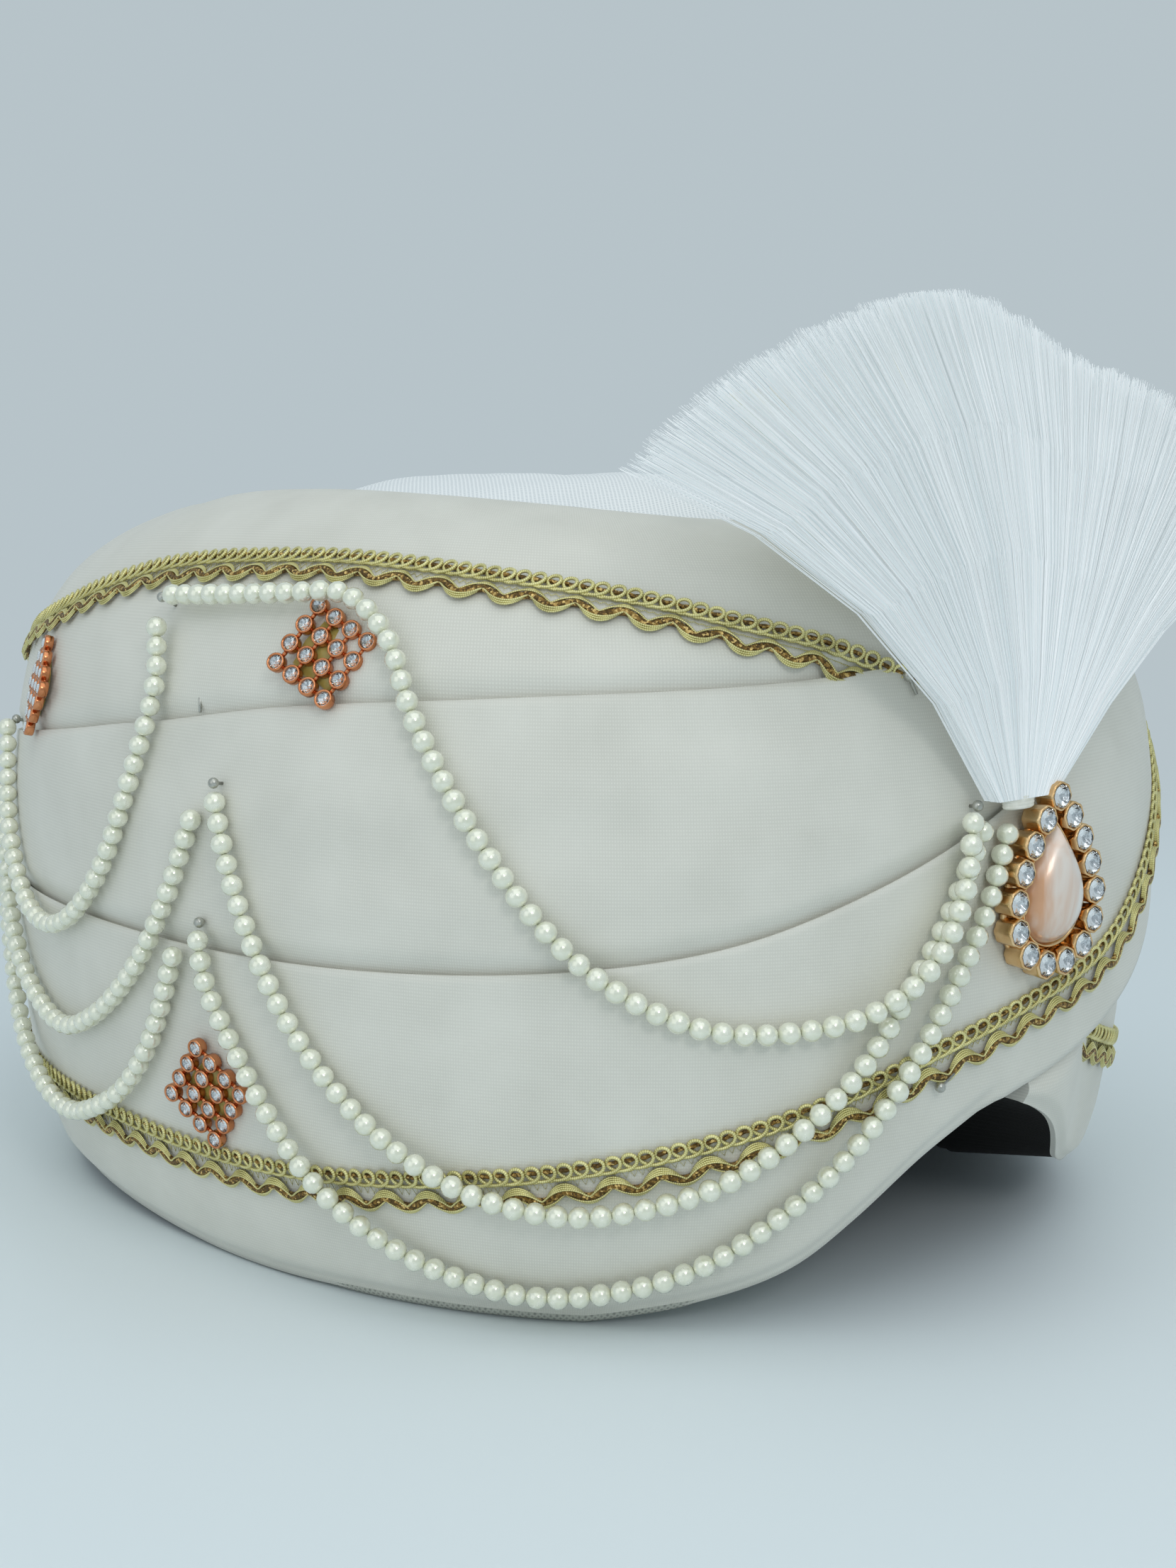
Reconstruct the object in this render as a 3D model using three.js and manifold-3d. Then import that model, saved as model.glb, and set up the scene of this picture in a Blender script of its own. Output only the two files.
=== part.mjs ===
// A ready-wound groom's turban: satin folds over a lined cap, trimmed with gold braid, pearl strings,
// stone ornaments, a drop brooch, a bristle plume and a pleated cloth fan behind it.
// Millimetres, +Z up, the brow towards -Y and the wearer's right towards -X. It rests on its rim.
// A place on the turban is a turn, in degrees from the middle of the brow towards the wearer's right,
// and a run, which is the height up the outside and then the way on over the rolled top edge.
import * as THREE from 'three';
import { mergeVertices } from 'three/addons/utils/BufferGeometryUtils.js';
import Module from 'manifold-3d';

const wasm = await Module();
wasm.setup();

const HALF_LENGTH = 138; // outside, brow to back
const HALF_WIDTH = 117; // outside, ear to ear
const SQUARENESS = 2.2; // exponent of the oval plan
const HEAD_HALF_LENGTH = 98; // the hollow for the head
const HEAD_HALF_WIDTH = 81;
const LINING = 2;
const CAP_STRAIGHT = 98; // height where the cap begins to dome
const CAP_RISE = 58;
const DOME_POWER = 2.6;
const CROWN_CLOTH = 2;
const CROWN_SHARE = 0.8; // how much of the cap the crown cloth covers
const CROWN_WAY = 0.52; // where both bend on the way to the top
const GAP = 0.3;
const STEEP_GAP = 1; // along the run, where an edge climbs steeply
const SEAM = 0.08; // half of the gap at the back, degrees
const ARCH_AT = 4; // the brow arch is a little to the wearer's right
const LIP_RUN = 187; // inner lip of the rolled top edge

// The outside from the rim to the lip: its share of the half sizes, and its height.
const PROFILE = [
  { run: 0, swell: 0.905, height: 0 },
  { run: 12, swell: 0.945, height: 12 },
  { run: 25, swell: 0.97, height: 25 },
  { run: 45, swell: 0.992, height: 45 },
  { run: 70, swell: 1.0, height: 70 },
  { run: 95, swell: 0.992, height: 95 },
  { run: 112, swell: 0.968, height: 112 },
  { run: 126, swell: 0.93, height: 126 },
  { run: 138, swell: 0.87, height: 138 },
  { run: 148, swell: 0.79, height: 147 },
  { run: 158, swell: 0.71, height: 152.6 },
  { run: 168, swell: 0.64, height: 155 },
  { run: 177, swell: 0.585, height: 153.6 },
  { run: LIP_RUN, swell: 0.535, height: 148.6 },
];

// Where the folds end inwards, as a share of the cap's outside.
const INSIDE = [
  { run: 0, share: 1, height: 0 },
  { run: 90, share: 1, height: 90 },
  { run: 120, share: 1, height: 112 },
  { run: 140, share: 0.985, height: 121.5 },
  { run: 158, share: 0.93, height: 131.5 },
  { run: 172, share: 0.86, height: 139.2 },
  { run: LIP_RUN, share: 0.75, height: 146.8 },
];

// The brow arch: how high the rim stands, by degrees away from the middle of the arch.
const ARCH = [
  { away: 0, height: 41.4 },
  { away: 8, height: 31.7 },
  { away: 14, height: 21.7 },
  { away: 20, height: 12.2 },
  { away: 28, height: 5 },
  { away: 36, height: 1.4 },
  { away: 40, height: 0 },
];

// The rim lifts a little off the table behind the ears.
const EAR_LIFT = { from: 72, to: 146, height: 3.5 };

// The lower wrap of the left side lies deeper than the fold that crosses it, and its rim stands off the table.
const LEFT_INSET = { from: 2, full: 16, fade: 48, to: 90, depth: 5.5 };
const LEFT_LIFT = { from: 12, full: 30, fade: 50, to: 78, depth: 6 };

// Upper edge of the crossing fold: low on the wearer's right, over the brow, up the left to the roll.
const CROSSING_TOP = [
  { turn: 180, run: 66 },
  { turn: 110, run: 66.5 },
  { turn: 65, run: 66.5 },
  { turn: 42, run: 70 },
  { turn: 31, run: 74 },
  { turn: 21, run: 80.5 },
  { turn: 7, run: 92 },
  { turn: -8, run: 108 },
  { turn: -24, run: 122 },
  { turn: -32, run: 133 },
  { turn: -40, run: 150 },
  { turn: -48, run: 172 },
  { turn: -54, run: LIP_RUN },
  { turn: -180, run: LIP_RUN },
];

// Lower edge of the crossing fold from the brow arch on, over the left side.
const CROSSING_FOOT = [
  { turn: ARCH_AT, run: 41.4 },
  { turn: -4, run: 46.5 },
  { turn: -13, run: 53 },
  { turn: -20, run: 59 },
  { turn: -30, run: 70 },
  { turn: -50, run: 98 },
  { turn: -60, run: 108 },
  { turn: -72, run: 112.5 },
  { turn: -85, run: 110 },
  { turn: -100, run: 104 },
  { turn: -130, run: 97 },
  { turn: -180, run: 93 },
];

// Upper edge of the middle fold on the right.
const MIDDLE_TOP = [
  { turn: -24, run: 123 },
  { turn: 0, run: 123 },
  { turn: 13, run: 122 },
  { turn: 26, run: 119.6 },
  { turn: 52, run: 116.8 },
  { turn: 73, run: 113.4 },
  { turn: 89, run: 107.7 },
  { turn: 100, run: 103.8 },
  { turn: 130, run: 97 },
  { turn: 180, run: 93 },
];

// Middle line of each braid.
const LOWER_BRAID = [
  { turn: 180, run: 25 },
  { turn: 98, run: 24.5 },
  { turn: 74, run: 24.3 },
  { turn: 59, run: 27.3 },
  { turn: 43, run: 32.6 },
  { turn: 27, run: 40.5 },
  { turn: 13, run: 50.1 },
  { turn: 1, run: 57.2 },
  { turn: -10, run: 64.8 },
  { turn: -19, run: 76 },
  { turn: -32, run: 93 },
  { turn: -50, run: 116 },
  { turn: -60, run: 124.5 },
  { turn: -75, run: 128.5 },
  { turn: -90, run: 126 },
  { turn: -110, run: 120 },
  { turn: -140, run: 112 },
  { turn: -180, run: 109 },
];
const UPPER_BRAID = [
  { turn: 14, run: 119.5 },
  { turn: 20, run: 126 },
  { turn: 29, run: 130 },
  { turn: 36, run: 133.3 },
  { turn: 46, run: 136.6 },
  { turn: 60, run: 139.4 },
  { turn: 70, run: 140.4 },
  { turn: 79, run: 140 },
  { turn: 89, run: 138.6 },
  { turn: 100, run: 133.5 },
  { turn: 110, run: 127.5 },
  { turn: 130, run: 118 },
  { turn: 150, run: 112 },
  { turn: 180, run: 109 },
];
const LEFT_BRAID = [
  { turn: -10, run: 45 },
  { turn: -17, run: 40 },
  { turn: -23, run: 36.5 },
  { turn: -33, run: 32.3 },
  { turn: -55, run: 26 },
  { turn: -70, run: 24.3 },
  { turn: -180, run: 25 },
];
const BRAID = { width: 8, thickness: 1.2, clear: 0.7 };

// Each pearl string hangs between pins; lift is how far its middle stands off the cloth.
const PEARL = 4;
const STRINGS = {
  pearl_string_1: [
    { turn: 86.8, run: 136.8, lift: 5.2 },
    { turn: 80, run: 138.6, lift: 5.2 },
    { turn: 73, run: 139, lift: 5.4 },
    { turn: 67, run: 137.6, lift: 5.4 },
    { turn: 62.4, run: 129, lift: 4.6 },
    { turn: 59.5, run: 114, lift: 3.6 },
    { turn: 54, run: 96, lift: 3.5 },
    { turn: 47, run: 77, lift: 3.5 },
    { turn: 41, run: 67, lift: 3.5 },
    { turn: 34, run: 61, lift: 3.5 },
    { turn: 27, run: 60, lift: 3.5 },
    { turn: 20, run: 63, lift: 5.6 },
    { turn: 15, run: 71, lift: 7.8 },
    { turn: 12, run: 83, lift: 7.8 },
    { turn: 10.4, run: 95, lift: 6.5 },
  ],
  pearl_string_2: [
    { turn: 78, run: 98.5, lift: 3.5 },
    { turn: 77, run: 90, lift: 3.5 },
    { turn: 74.6, run: 74, lift: 3.5 },
    { turn: 70.5, run: 57, lift: 3.5 },
    { turn: 65.5, run: 44, lift: 3.5 },
    { turn: 60, run: 35.5, lift: 4.8 },
    { turn: 53.5, run: 29.5, lift: 5.4 },
    { turn: 46, run: 27, lift: 5.4 },
    { turn: 39, run: 29, lift: 5.4 },
    { turn: 32, run: 34, lift: 5.4 },
    { turn: 26, run: 42.5, lift: 5.4 },
    { turn: 20.5, run: 53, lift: 4.8 },
    { turn: 16.4, run: 64, lift: 3.5 },
    { turn: 12.6, run: 76, lift: 3.5 },
    { turn: 8.2, run: 93, lift: 3.5 },
  ],
  pearl_string_3: [
    { turn: 80.3, run: 71.5, lift: 3.5 },
    { turn: 79.2, run: 62, lift: 3.5 },
    { turn: 76.5, run: 50.5, lift: 3.5 },
    { turn: 73.2, run: 39, lift: 4 },
    { turn: 69, run: 28.5, lift: 5.4 },
    { turn: 64.5, run: 20.5, lift: 5.2 },
    { turn: 58, run: 13, lift: 3.6 },
    { turn: 49, run: 9.3, lift: 3.5 },
    { turn: 40, run: 11.8, lift: 3.5 },
    { turn: 33, run: 17, lift: 3.5 },
    { turn: 26.5, run: 26, lift: 3.6 },
    { turn: 21.4, run: 37, lift: 5.2 },
    { turn: 16.6, run: 50, lift: 5.4 },
    { turn: 12, run: 64, lift: 4.2 },
    { turn: 8, run: 78, lift: 3.5 },
    { turn: 5.4, run: 92, lift: 3.5 },
  ],
  pearl_string_1_back: [
    { turn: 87.6, run: 129.5, lift: 4.6 },
    { turn: 86.6, run: 118, lift: 3.5 },
    { turn: 88, run: 99, lift: 3.5 },
    { turn: 91, run: 80, lift: 3.5 },
    { turn: 95.4, run: 68.5, lift: 3.5 },
    { turn: 100.5, run: 64, lift: 3.5 },
    { turn: 106, run: 66.5, lift: 3.5 },
    { turn: 112, run: 79, lift: 3.5 },
    { turn: 117.6, run: 101, lift: 3.5 },
  ],
  pearl_string_2_back: [
    { turn: 80.6, run: 92.5, lift: 3.5 },
    { turn: 83.4, run: 77, lift: 3.5 },
    { turn: 87, run: 63, lift: 3.5 },
    { turn: 92, run: 50, lift: 3.5 },
    { turn: 98.6, run: 43.2, lift: 3.5 },
    { turn: 105, run: 46, lift: 3.5 },
    { turn: 112, run: 56, lift: 3.5 },
    { turn: 122.6, run: 85, lift: 3.5 },
  ],
  pearl_string_3_back: [
    { turn: 82.8, run: 65.5, lift: 3.5 },
    { turn: 86, run: 48, lift: 3.5 },
    { turn: 89.6, run: 36, lift: 4.4 },
    { turn: 94, run: 28.5, lift: 5.4 },
    { turn: 99.4, run: 25, lift: 5.4 },
    { turn: 105, run: 27.5, lift: 5.4 },
    { turn: 112, run: 36, lift: 4.4 },
    { turn: 124.6, run: 63, lift: 3.5 },
  ],
};

// Dress pins that hold the strings.
const PIN = { head: 1.05, shank: 0.4, length: 2.8, clear: 0.3 };
const PINS = [
  { name: 'pin_1', turn: 88, run: 136.4 },
  { name: 'pin_2', turn: 78.2, run: 100.4 },
  { name: 'pin_3', turn: 80.6, run: 73.4 },
  { name: 'pin_1_back', turn: 118.2, run: 103 },
  { name: 'pin_2_back', turn: 123.2, run: 87 },
  { name: 'pin_3_back', turn: 125.1, run: 65 },
  { name: 'pin_front', turn: 8.4, run: 97.6 },
];

// Square stone ornaments that stand on a corner.
const ORNAMENT = {
  rows: 4, pitch: 4.4, cup: 1.85, cupHeight: 2.4, stone: 1, stoneRise: 0.8, backing: 0.7, clear: 0.4,
};
const ORNAMENTS = [
  { name: 'ornament_upper', turn: 69, run: 123.6 },
  { name: 'ornament_back', turn: 108, run: 112.4 },
  { name: 'ornament_lower', turn: 81, run: 39.6 },
];

const BROOCH = {
  across: -2.2, height: 82.6, back: 139.3, // place of its middle, and its back plane in front of the axis
  facing: 3, // degrees towards the wearer's right
  ring: { width: 25, height: 32, cups: 15 },
  cup: 2.75, cupHeight: 4.6, stone: 1.7, stoneRise: 1, backing: 1.2,
  drop: { width: 15.5, height: 22.5, rise: 6, lower: 0.6 },
};

const PLUME = {
  across: -12, front: 140.9, height: 99, head: 5, headFoot: -1.9, headHeight: 7,
  root: -11.3, rootHalf: 8.6, rootDepth: 3.6, tipDepth: 6, length: 96, locks: 9,
  spread: 55, tilt: 4.4, splay: 0.15, lean: 8.8, wrapRight: 7, wrapLeft: 0.5, curl: 1.4,
  dip: 0.11, dipAt: 0.25, dipWidth: 0.3, ragged: 0.03,
};

// The pleated fan lies up the brow behind the plume; its middle line seen from the side.
const FAN = { across: -3, foot: 99, length: 95, spread: 38, pleats: 12, pleat: 1.4, cloth: 1.5, start: 7, dip: 7 };
const FAN_LINE = [
  { along: 0, front: 139.4 },
  { along: 13, front: 137 },
  { along: 27, front: 132.4 },
  { along: 52, front: 121 },
  { along: 95, front: 101 },
];

const FRONT_STEP = 4; // degrees between sections around the brow
const FRONT_REACH = 52;
const BACK_STEP = (360 - 2 * FRONT_REACH) / 22;

const satin = new THREE.MeshStandardMaterial({ color: 0xe9e7dc, roughness: 0.5 });
const crownCloth = new THREE.MeshStandardMaterial({ color: 0xe4e6e6, roughness: 0.85 });
const lining = new THREE.MeshStandardMaterial({ color: 0x1b1a18, roughness: 0.9 });
const braidGold = new THREE.MeshStandardMaterial({ color: 0xa8985a, roughness: 0.45, metalness: 0.7 });
const pearl = new THREE.MeshStandardMaterial({ color: 0xeeeedd, roughness: 0.25 });
const steel = new THREE.MeshStandardMaterial({ color: 0x8c8c88, roughness: 0.35, metalness: 1 });
const copper = new THREE.MeshStandardMaterial({ color: 0xc98a62, roughness: 0.3, metalness: 1 });
const gold = new THREE.MeshStandardMaterial({ color: 0xd9a566, roughness: 0.25, metalness: 1 });
const peach = new THREE.MeshStandardMaterial({ color: 0xe9d3c2, roughness: 0.3 });
const bristle = new THREE.MeshStandardMaterial({ color: 0xe6ecef, roughness: 0.4 });
const fanCloth = new THREE.MeshStandardMaterial({ color: 0xe6e2d2, roughness: 0.7 });

const rad = THREE.MathUtils.degToRad;

function smooth(rows, key, value) {
  const sorted = [...rows].sort((a, b) => a[key] - b[key]);
  const curve = new THREE.CubicInterpolant(sorted.map((row) => row[key]), sorted.map((row) => row[value]), 1);
  return (at) => curve.evaluate(at)[0];
}

const swellAt = smooth(PROFILE, 'run', 'swell');
const heightAt = smooth(PROFILE, 'run', 'height');
const insideShare = smooth(INSIDE, 'run', 'share');
const insideHeight = smooth(INSIDE, 'run', 'height');
const archAt = smooth(ARCH, 'away', 'height');
const crossingTopAt = smooth(CROSSING_TOP, 'turn', 'run');
const crossingFootAt = smooth(CROSSING_FOOT, 'turn', 'run');
const middleTopAt = smooth(MIDDLE_TOP, 'turn', 'run');
const fanLineAt = smooth(FAN_LINE, 'along', 'front');

function oval(turn, halfWidth, halfLength, height) {
  const power = 2 / SQUARENESS;
  const side = Math.sin(rad(turn));
  const ahead = Math.cos(rad(turn));
  return new THREE.Vector3(
    -Math.sign(side) * halfWidth * Math.abs(side) ** power,
    -Math.sign(ahead) * halfLength * Math.abs(ahead) ** power,
    height,
  );
}

// A point on the outside, moved off it by lift, square to the section.
function outside(turn, run, lift = 0) {
  const at = (r) => oval(turn, HALF_WIDTH * swellAt(r), HALF_LENGTH * swellAt(r), heightAt(r));
  const point = at(run);
  const below = at(Math.max(run - 1, 0));
  const above = at(Math.min(run + 1, LIP_RUN));
  const radius = Math.hypot(point.x, point.y);
  const outward = above.z - below.z;
  const upward = Math.hypot(below.x, below.y) - Math.hypot(above.x, above.y);
  const size = Math.hypot(outward, upward);
  const spread = 1 + (lift * outward) / size / radius;
  return new THREE.Vector3(point.x * spread, point.y * spread, point.z + (lift * upward) / size);
}

function inside(turn, run) {
  const share = insideShare(run);
  const halfWidth = (HEAD_HALF_WIDTH + LINING) * share + GAP;
  const halfLength = (HEAD_HALF_LENGTH + LINING) * share + GAP;
  return oval(turn, halfWidth, halfLength, insideHeight(run));
}

function onLeft({ from, full, fade, to, depth }, turn) {
  const { smoothstep } = THREE.MathUtils;
  return depth * smoothstep(-turn, from, full) * (1 - smoothstep(-turn, fade, to));
}

function rimAt(turn) {
  const away = Math.abs(turn - ARCH_AT);
  const arch = away < 40 ? Math.max(0, archAt(away)) : 0;
  const behind = (Math.abs(turn) - EAR_LIFT.from) / (EAR_LIFT.to - EAR_LIFT.from);
  const lift = behind > 0 && behind < 1 ? EAR_LIFT.height * Math.sin(Math.PI * behind) ** 2 : 0;
  return arch + lift + onLeft(LEFT_LIFT, turn);
}

// Section angles from one turn to another: close together round the brow, wider elsewhere.
function stations(from, to) {
  const inner = [];
  for (let whole = -360; whole <= 360; whole += 360) {
    for (let turn = -FRONT_REACH; turn <= FRONT_REACH; turn += FRONT_STEP) inner.push(whole + turn);
    for (let turn = FRONT_REACH + BACK_STEP; turn < 359 - FRONT_REACH; turn += BACK_STEP) {
      inner.push(whole + turn);
    }
  }
  const kept = inner.filter((turn) => turn > Math.min(from, to) + 1 && turn < Math.max(from, to) - 1);
  return [Math.min(from, to), ...kept.sort((a, b) => a - b), Math.max(from, to)];
}

// One closed body from its corner points and triangles, turned to face out.
function body(points, triangles) {
  const shape = new THREE.BufferGeometry();
  shape.setAttribute('position', new THREE.Float32BufferAttribute(points.flatMap((p) => [p.x, p.y, p.z]), 3));
  shape.setIndex(triangles.flat());
  const merged = mergeVertices(shape, 1e-4);
  const index = merged.index.array;
  const place = (i) => new THREE.Vector3().fromBufferAttribute(merged.attributes.position, i);
  let faces = [];
  let volume = 0;
  for (let i = 0; i < index.length; i += 3) {
    const [a, b, c] = [index[i], index[i + 1], index[i + 2]];
    if (a === b || b === c || c === a) continue;
    faces.push([a, b, c]);
    volume += place(a).dot(place(b).cross(place(c)));
  }
  if (volume < 0) faces = faces.map(([a, b, c]) => [a, c, b]);
  merged.setIndex(faces.flat());
  return merged;
}

// Skin over a row of sections that have as many points each; an open row gets flat ends.
function loft(sections, closed = false) {
  const size = sections[0].length;
  const triangles = [];
  const spans = closed ? sections.length : sections.length - 1;
  for (let s = 0; s < spans; s += 1) {
    const here = s * size;
    const next = ((s + 1) % sections.length) * size;
    for (let i = 0; i < size; i += 1) {
      const j = (i + 1) % size;
      // The last side lies on the neighbour's edge face, so it is split along the same diagonal.
      if (j === 0) triangles.push([here + i, here + j, next + i], [here + j, next + j, next + i]);
      else triangles.push([here + i, here + j, next + j], [here + i, next + j, next + i]);
    }
  }
  if (!closed) {
    const last = (sections.length - 1) * size;
    const ends = [{ section: sections[0], first: 0 }, { section: sections.at(-1), first: last }];
    for (const { section, first } of ends) {
      for (const [a, b, c] of flatEnd(section)) {
        triangles.push(first === 0 ? [first + a, first + c, first + b] : [first + a, first + b, first + c]);
      }
    }
  }
  return body(sections.flat(), triangles);
}

// Triangles of a plane section, in the turning sense of its own points.
function flatEnd(section) {
  const normal = new THREE.Vector3();
  section.forEach((p, i) => normal.add(p.clone().cross(section[(i + 1) % section.length])));
  const across = section[1].clone().sub(section[0]).normalize();
  const up = normal.normalize().clone().cross(across);
  const flat = section.map((p) => new THREE.Vector2(p.dot(across), p.dot(up)));
  return THREE.ShapeUtils.triangulateShape(flat, []);
}

function fuse(shapes) {
  const solids = shapes.map((shape) => {
    const plain = shape.clone();
    plain.deleteAttribute('normal');
    plain.deleteAttribute('uv');
    const merged = mergeVertices(plain, 1e-4);
    return new wasm.Manifold(new wasm.Mesh({
      numProp: 3,
      vertProperties: new Float32Array(merged.attributes.position.array),
      triVerts: new Uint32Array(merged.index.array),
    }));
  });
  const joined = solids.reduce((whole, piece) => whole.add(piece)).getMesh();
  const result = new THREE.BufferGeometry();
  result.setAttribute('position', new THREE.Float32BufferAttribute(joined.vertProperties, 3));
  result.setIndex([...joined.triVerts]);
  return result;
}

const turban = new THREE.Group();
turban.name = 'turban';

// Meshes that pins and ornaments are fixed to.
const carriers = [];

function add(name, shape, material, parent = turban) {
  const mesh = new THREE.Mesh(shape, material);
  mesh.name = name;
  parent.add(mesh);
  return mesh;
}

// Satin folds. Across a fold the cloth is tucked in at the foot and swells towards the edge on top.
const SWELL = [
  { share: 0, lift: -1.5 },
  { share: 0.08, lift: -0.4 },
  { share: 0.33, lift: 0.4 },
  { share: 0.56, lift: 0.7 },
  { share: 0.78, lift: 0.9 },
  { share: 1, lift: 0.1 },
];
const INNER_SHARES = [1, 0.66, 0.33, 0];

function foldLift(fold, turn, run) {
  const share = (run - fold.foot(turn)) / (fold.top(turn) - fold.foot(turn));
  const row = Math.max(1, SWELL.findIndex((step) => step.share >= share));
  const [low, high] = [SWELL[row - 1], SWELL[row]];
  return THREE.MathUtils.mapLinear(share, low.share, high.share, low.lift, high.lift) - fold.inset(turn);
}

// A fold's two edges stay on the line between outside and inside, so that neighbours keep their gap.
function foldEdge(turn, run, lift) {
  const point = outside(turn, run);
  const inward = inside(turn, run).sub(point).normalize();
  return point.addScaledVector(inward, -lift);
}

function foldSection(fold, turn) {
  const foot = fold.foot(turn);
  const top = fold.top(turn);
  const inset = fold.inset(turn);
  const along = (share) => foot + (top - foot) * share;
  return [
    foldEdge(turn, foot, SWELL[0].lift - inset),
    ...SWELL.slice(1, -1).map(({ share, lift }) => outside(turn, along(share), lift - inset)),
    foldEdge(turn, top, SWELL.at(-1).lift - inset),
    ...INNER_SHARES.map((share) => inside(turn, along(share))),
  ];
}

const flush = () => 0;
const asLeft = (turn) => (turn > 180 ? turn - 360 : turn);
const crossingFold = {
  from: 180 - SEAM,
  to: -180 + SEAM,
  foot: (turn) => (turn >= ARCH_AT ? rimAt(turn) : crossingFootAt(turn)),
  top: (turn) => Math.min(LIP_RUN, crossingTopAt(turn)),
  inset: flush,
};
const lowerTopAt = (turn) => Math.min(crossingTopAt(Math.abs(turn)), crossingFootAt(turn) - GAP);
const leftInset = (turn) => onLeft(LEFT_INSET, turn);
const leftFold = { from: 0, to: -180 + SEAM, foot: rimAt, top: lowerTopAt, inset: leftInset };
const middleFold = {
  from: -20,
  to: 324,
  foot: (turn) => (turn > 180 ? lowerTopAt(asLeft(turn)) : crossingFold.top(turn)) + GAP,
  top: (turn) => (turn > 180 ? crossingFootAt(asLeft(turn)) - GAP : middleTopAt(turn)),
  inset: flush,
};
const upperFold = {
  from: 180 - SEAM,
  to: -52,
  foot: (turn) => {
    const crossing = crossingFold.top(turn);
    return turn > -24 ? Math.max(crossing, middleTopAt(turn)) + GAP : crossing + STEEP_GAP;
  },
  top: () => LIP_RUN,
  inset: flush,
};

const FOLDS = [
  { name: 'crossing_fold', fold: crossingFold },
  { name: 'lower_fold_left', fold: leftFold },
  { name: 'middle_fold', fold: middleFold },
  { name: 'upper_fold', fold: upperFold },
];
for (const { name, fold } of FOLDS) {
  carriers.push(add(name, loft(stations(fold.from, fold.to).map((turn) => foldSection(fold, turn))), satin));
}

// Lined cap and the open-weave cloth on its crown.
const domeHeight = (share) => CAP_STRAIGHT + CAP_RISE * (1 - share ** DOME_POWER) ** (1 / DOME_POWER);
const RING = stations(-180, 179).slice(0, -1);

function dome(turn, share, inset, drop) {
  const halfWidth = (HEAD_HALF_WIDTH + LINING - inset) * share;
  const halfLength = (HEAD_HALF_LENGTH + LINING - inset) * share;
  return oval(turn, halfWidth, halfLength, domeHeight(share) - drop);
}

function capSection(turn) {
  const shares = [1, CROWN_SHARE, CROWN_WAY, 0];
  const foot = rimAt(turn) + 1;
  const skin = (inset) => [
    oval(turn, HEAD_HALF_WIDTH + LINING - inset, HEAD_HALF_LENGTH + LINING - inset, foot),
    ...shares.map((share) => dome(turn, share, inset, inset)),
  ];
  return [...skin(0), ...skin(LINING).reverse()];
}
add('inner_cap', loft(RING.map(capSection), true), lining);

function crownSection(turn) {
  const shares = [CROWN_SHARE, CROWN_WAY, 0];
  const skin = (rise) => shares.map((share) => dome(turn, share, 0, -rise));
  return [...skin(GAP), ...skin(GAP + CROWN_CLOTH).reverse()];
}
add('crown_cover', loft(RING.map(crownSection), true), crownCloth);

// Gold braid: flat strips sewn along the folds.
function braidSection(fold, middle, turn) {
  const edges = [-BRAID.width / 2, BRAID.width / 2];
  const at = (edge, rise) => {
    const run = middle(turn) + edge;
    return outside(turn, run, foldLift(fold, turn, run) + BRAID.clear + rise);
  };
  return [at(edges[0], 0), at(edges[1], 0), at(edges[1], BRAID.thickness), at(edges[0], BRAID.thickness)];
}
const BRAIDS = [
  { name: 'lower_braid', fold: crossingFold, line: LOWER_BRAID, from: 180 - SEAM, to: -180 + SEAM },
  { name: 'upper_braid', fold: upperFold, line: UPPER_BRAID, from: 180 - SEAM, to: 20 },
  { name: 'left_braid', fold: leftFold, line: LEFT_BRAID, from: -12, to: -180 + SEAM },
];
for (const { name, fold, line, from, to } of BRAIDS) {
  const middle = smooth(line, 'turn', 'run');
  const strip = loft(stations(from, to).map((turn) => braidSection(fold, middle, turn)));
  carriers.push(add(name, strip, braidGold));
}

// Pearl strings: each a round tube along its swag.
const STRING_SIDES = 8;
const STRING_STEP = 2.75 * PEARL;
const stringSection = new THREE.Shape();
for (let i = 0; i < STRING_SIDES; i += 1) {
  const angle = (i * 2 * Math.PI) / STRING_SIDES;
  const [x, y] = [(PEARL / 2) * Math.cos(angle), (PEARL / 2) * Math.sin(angle)];
  if (i === 0) stringSection.moveTo(x, y);
  else stringSection.lineTo(x, y);
}
for (const [name, rows] of Object.entries(STRINGS)) {
  const swag = new THREE.CatmullRomCurve3(rows.map(({ turn, run, lift }) => outside(turn, run, lift)));
  const steps = Math.round(swag.getLength() / STRING_STEP);
  add(name, new THREE.ExtrudeGeometry(stringSection, { steps, extrudePath: swag, curveSegments: 1 }), pearl);
}

// A group just clear of the highest cloth or braid under it, with +Y up the turban and +Z straight out.
const SEEK = 20;
const PROBES = [-1, -0.5, -0.25, 0, 0.25, 0.5, 1];
const caster = new THREE.Raycaster();
function seat(turn, run, clear, reach = 0) {
  const base = outside(turn, run);
  const out = outside(turn, run, 1).sub(base).normalize();
  const side = new THREE.Vector3(0, 0, 1).cross(out).normalize();
  const up = out.clone().cross(side);
  let rise = -SEEK;
  for (const axis of [side, up]) {
    for (const share of PROBES) {
      const above = base.clone().addScaledVector(axis, share * reach).addScaledVector(out, SEEK);
      caster.set(above, out.clone().negate());
      const [hit] = caster.intersectObjects(carriers);
      if (hit) rise = Math.max(rise, SEEK - hit.distance);
    }
  }
  const group = new THREE.Group();
  group.quaternion.setFromRotationMatrix(new THREE.Matrix4().makeBasis(side, up, out));
  group.position.copy(base).addScaledVector(out, rise + clear);
  turban.add(group);
  return group;
}

// Turned profile with its axis along +Z.
function turned(profile, sides) {
  const points = profile.map(([radius, height]) => new THREE.Vector2(radius, height));
  return new THREE.LatheGeometry(points, sides).rotateX(Math.PI / 2);
}

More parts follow.
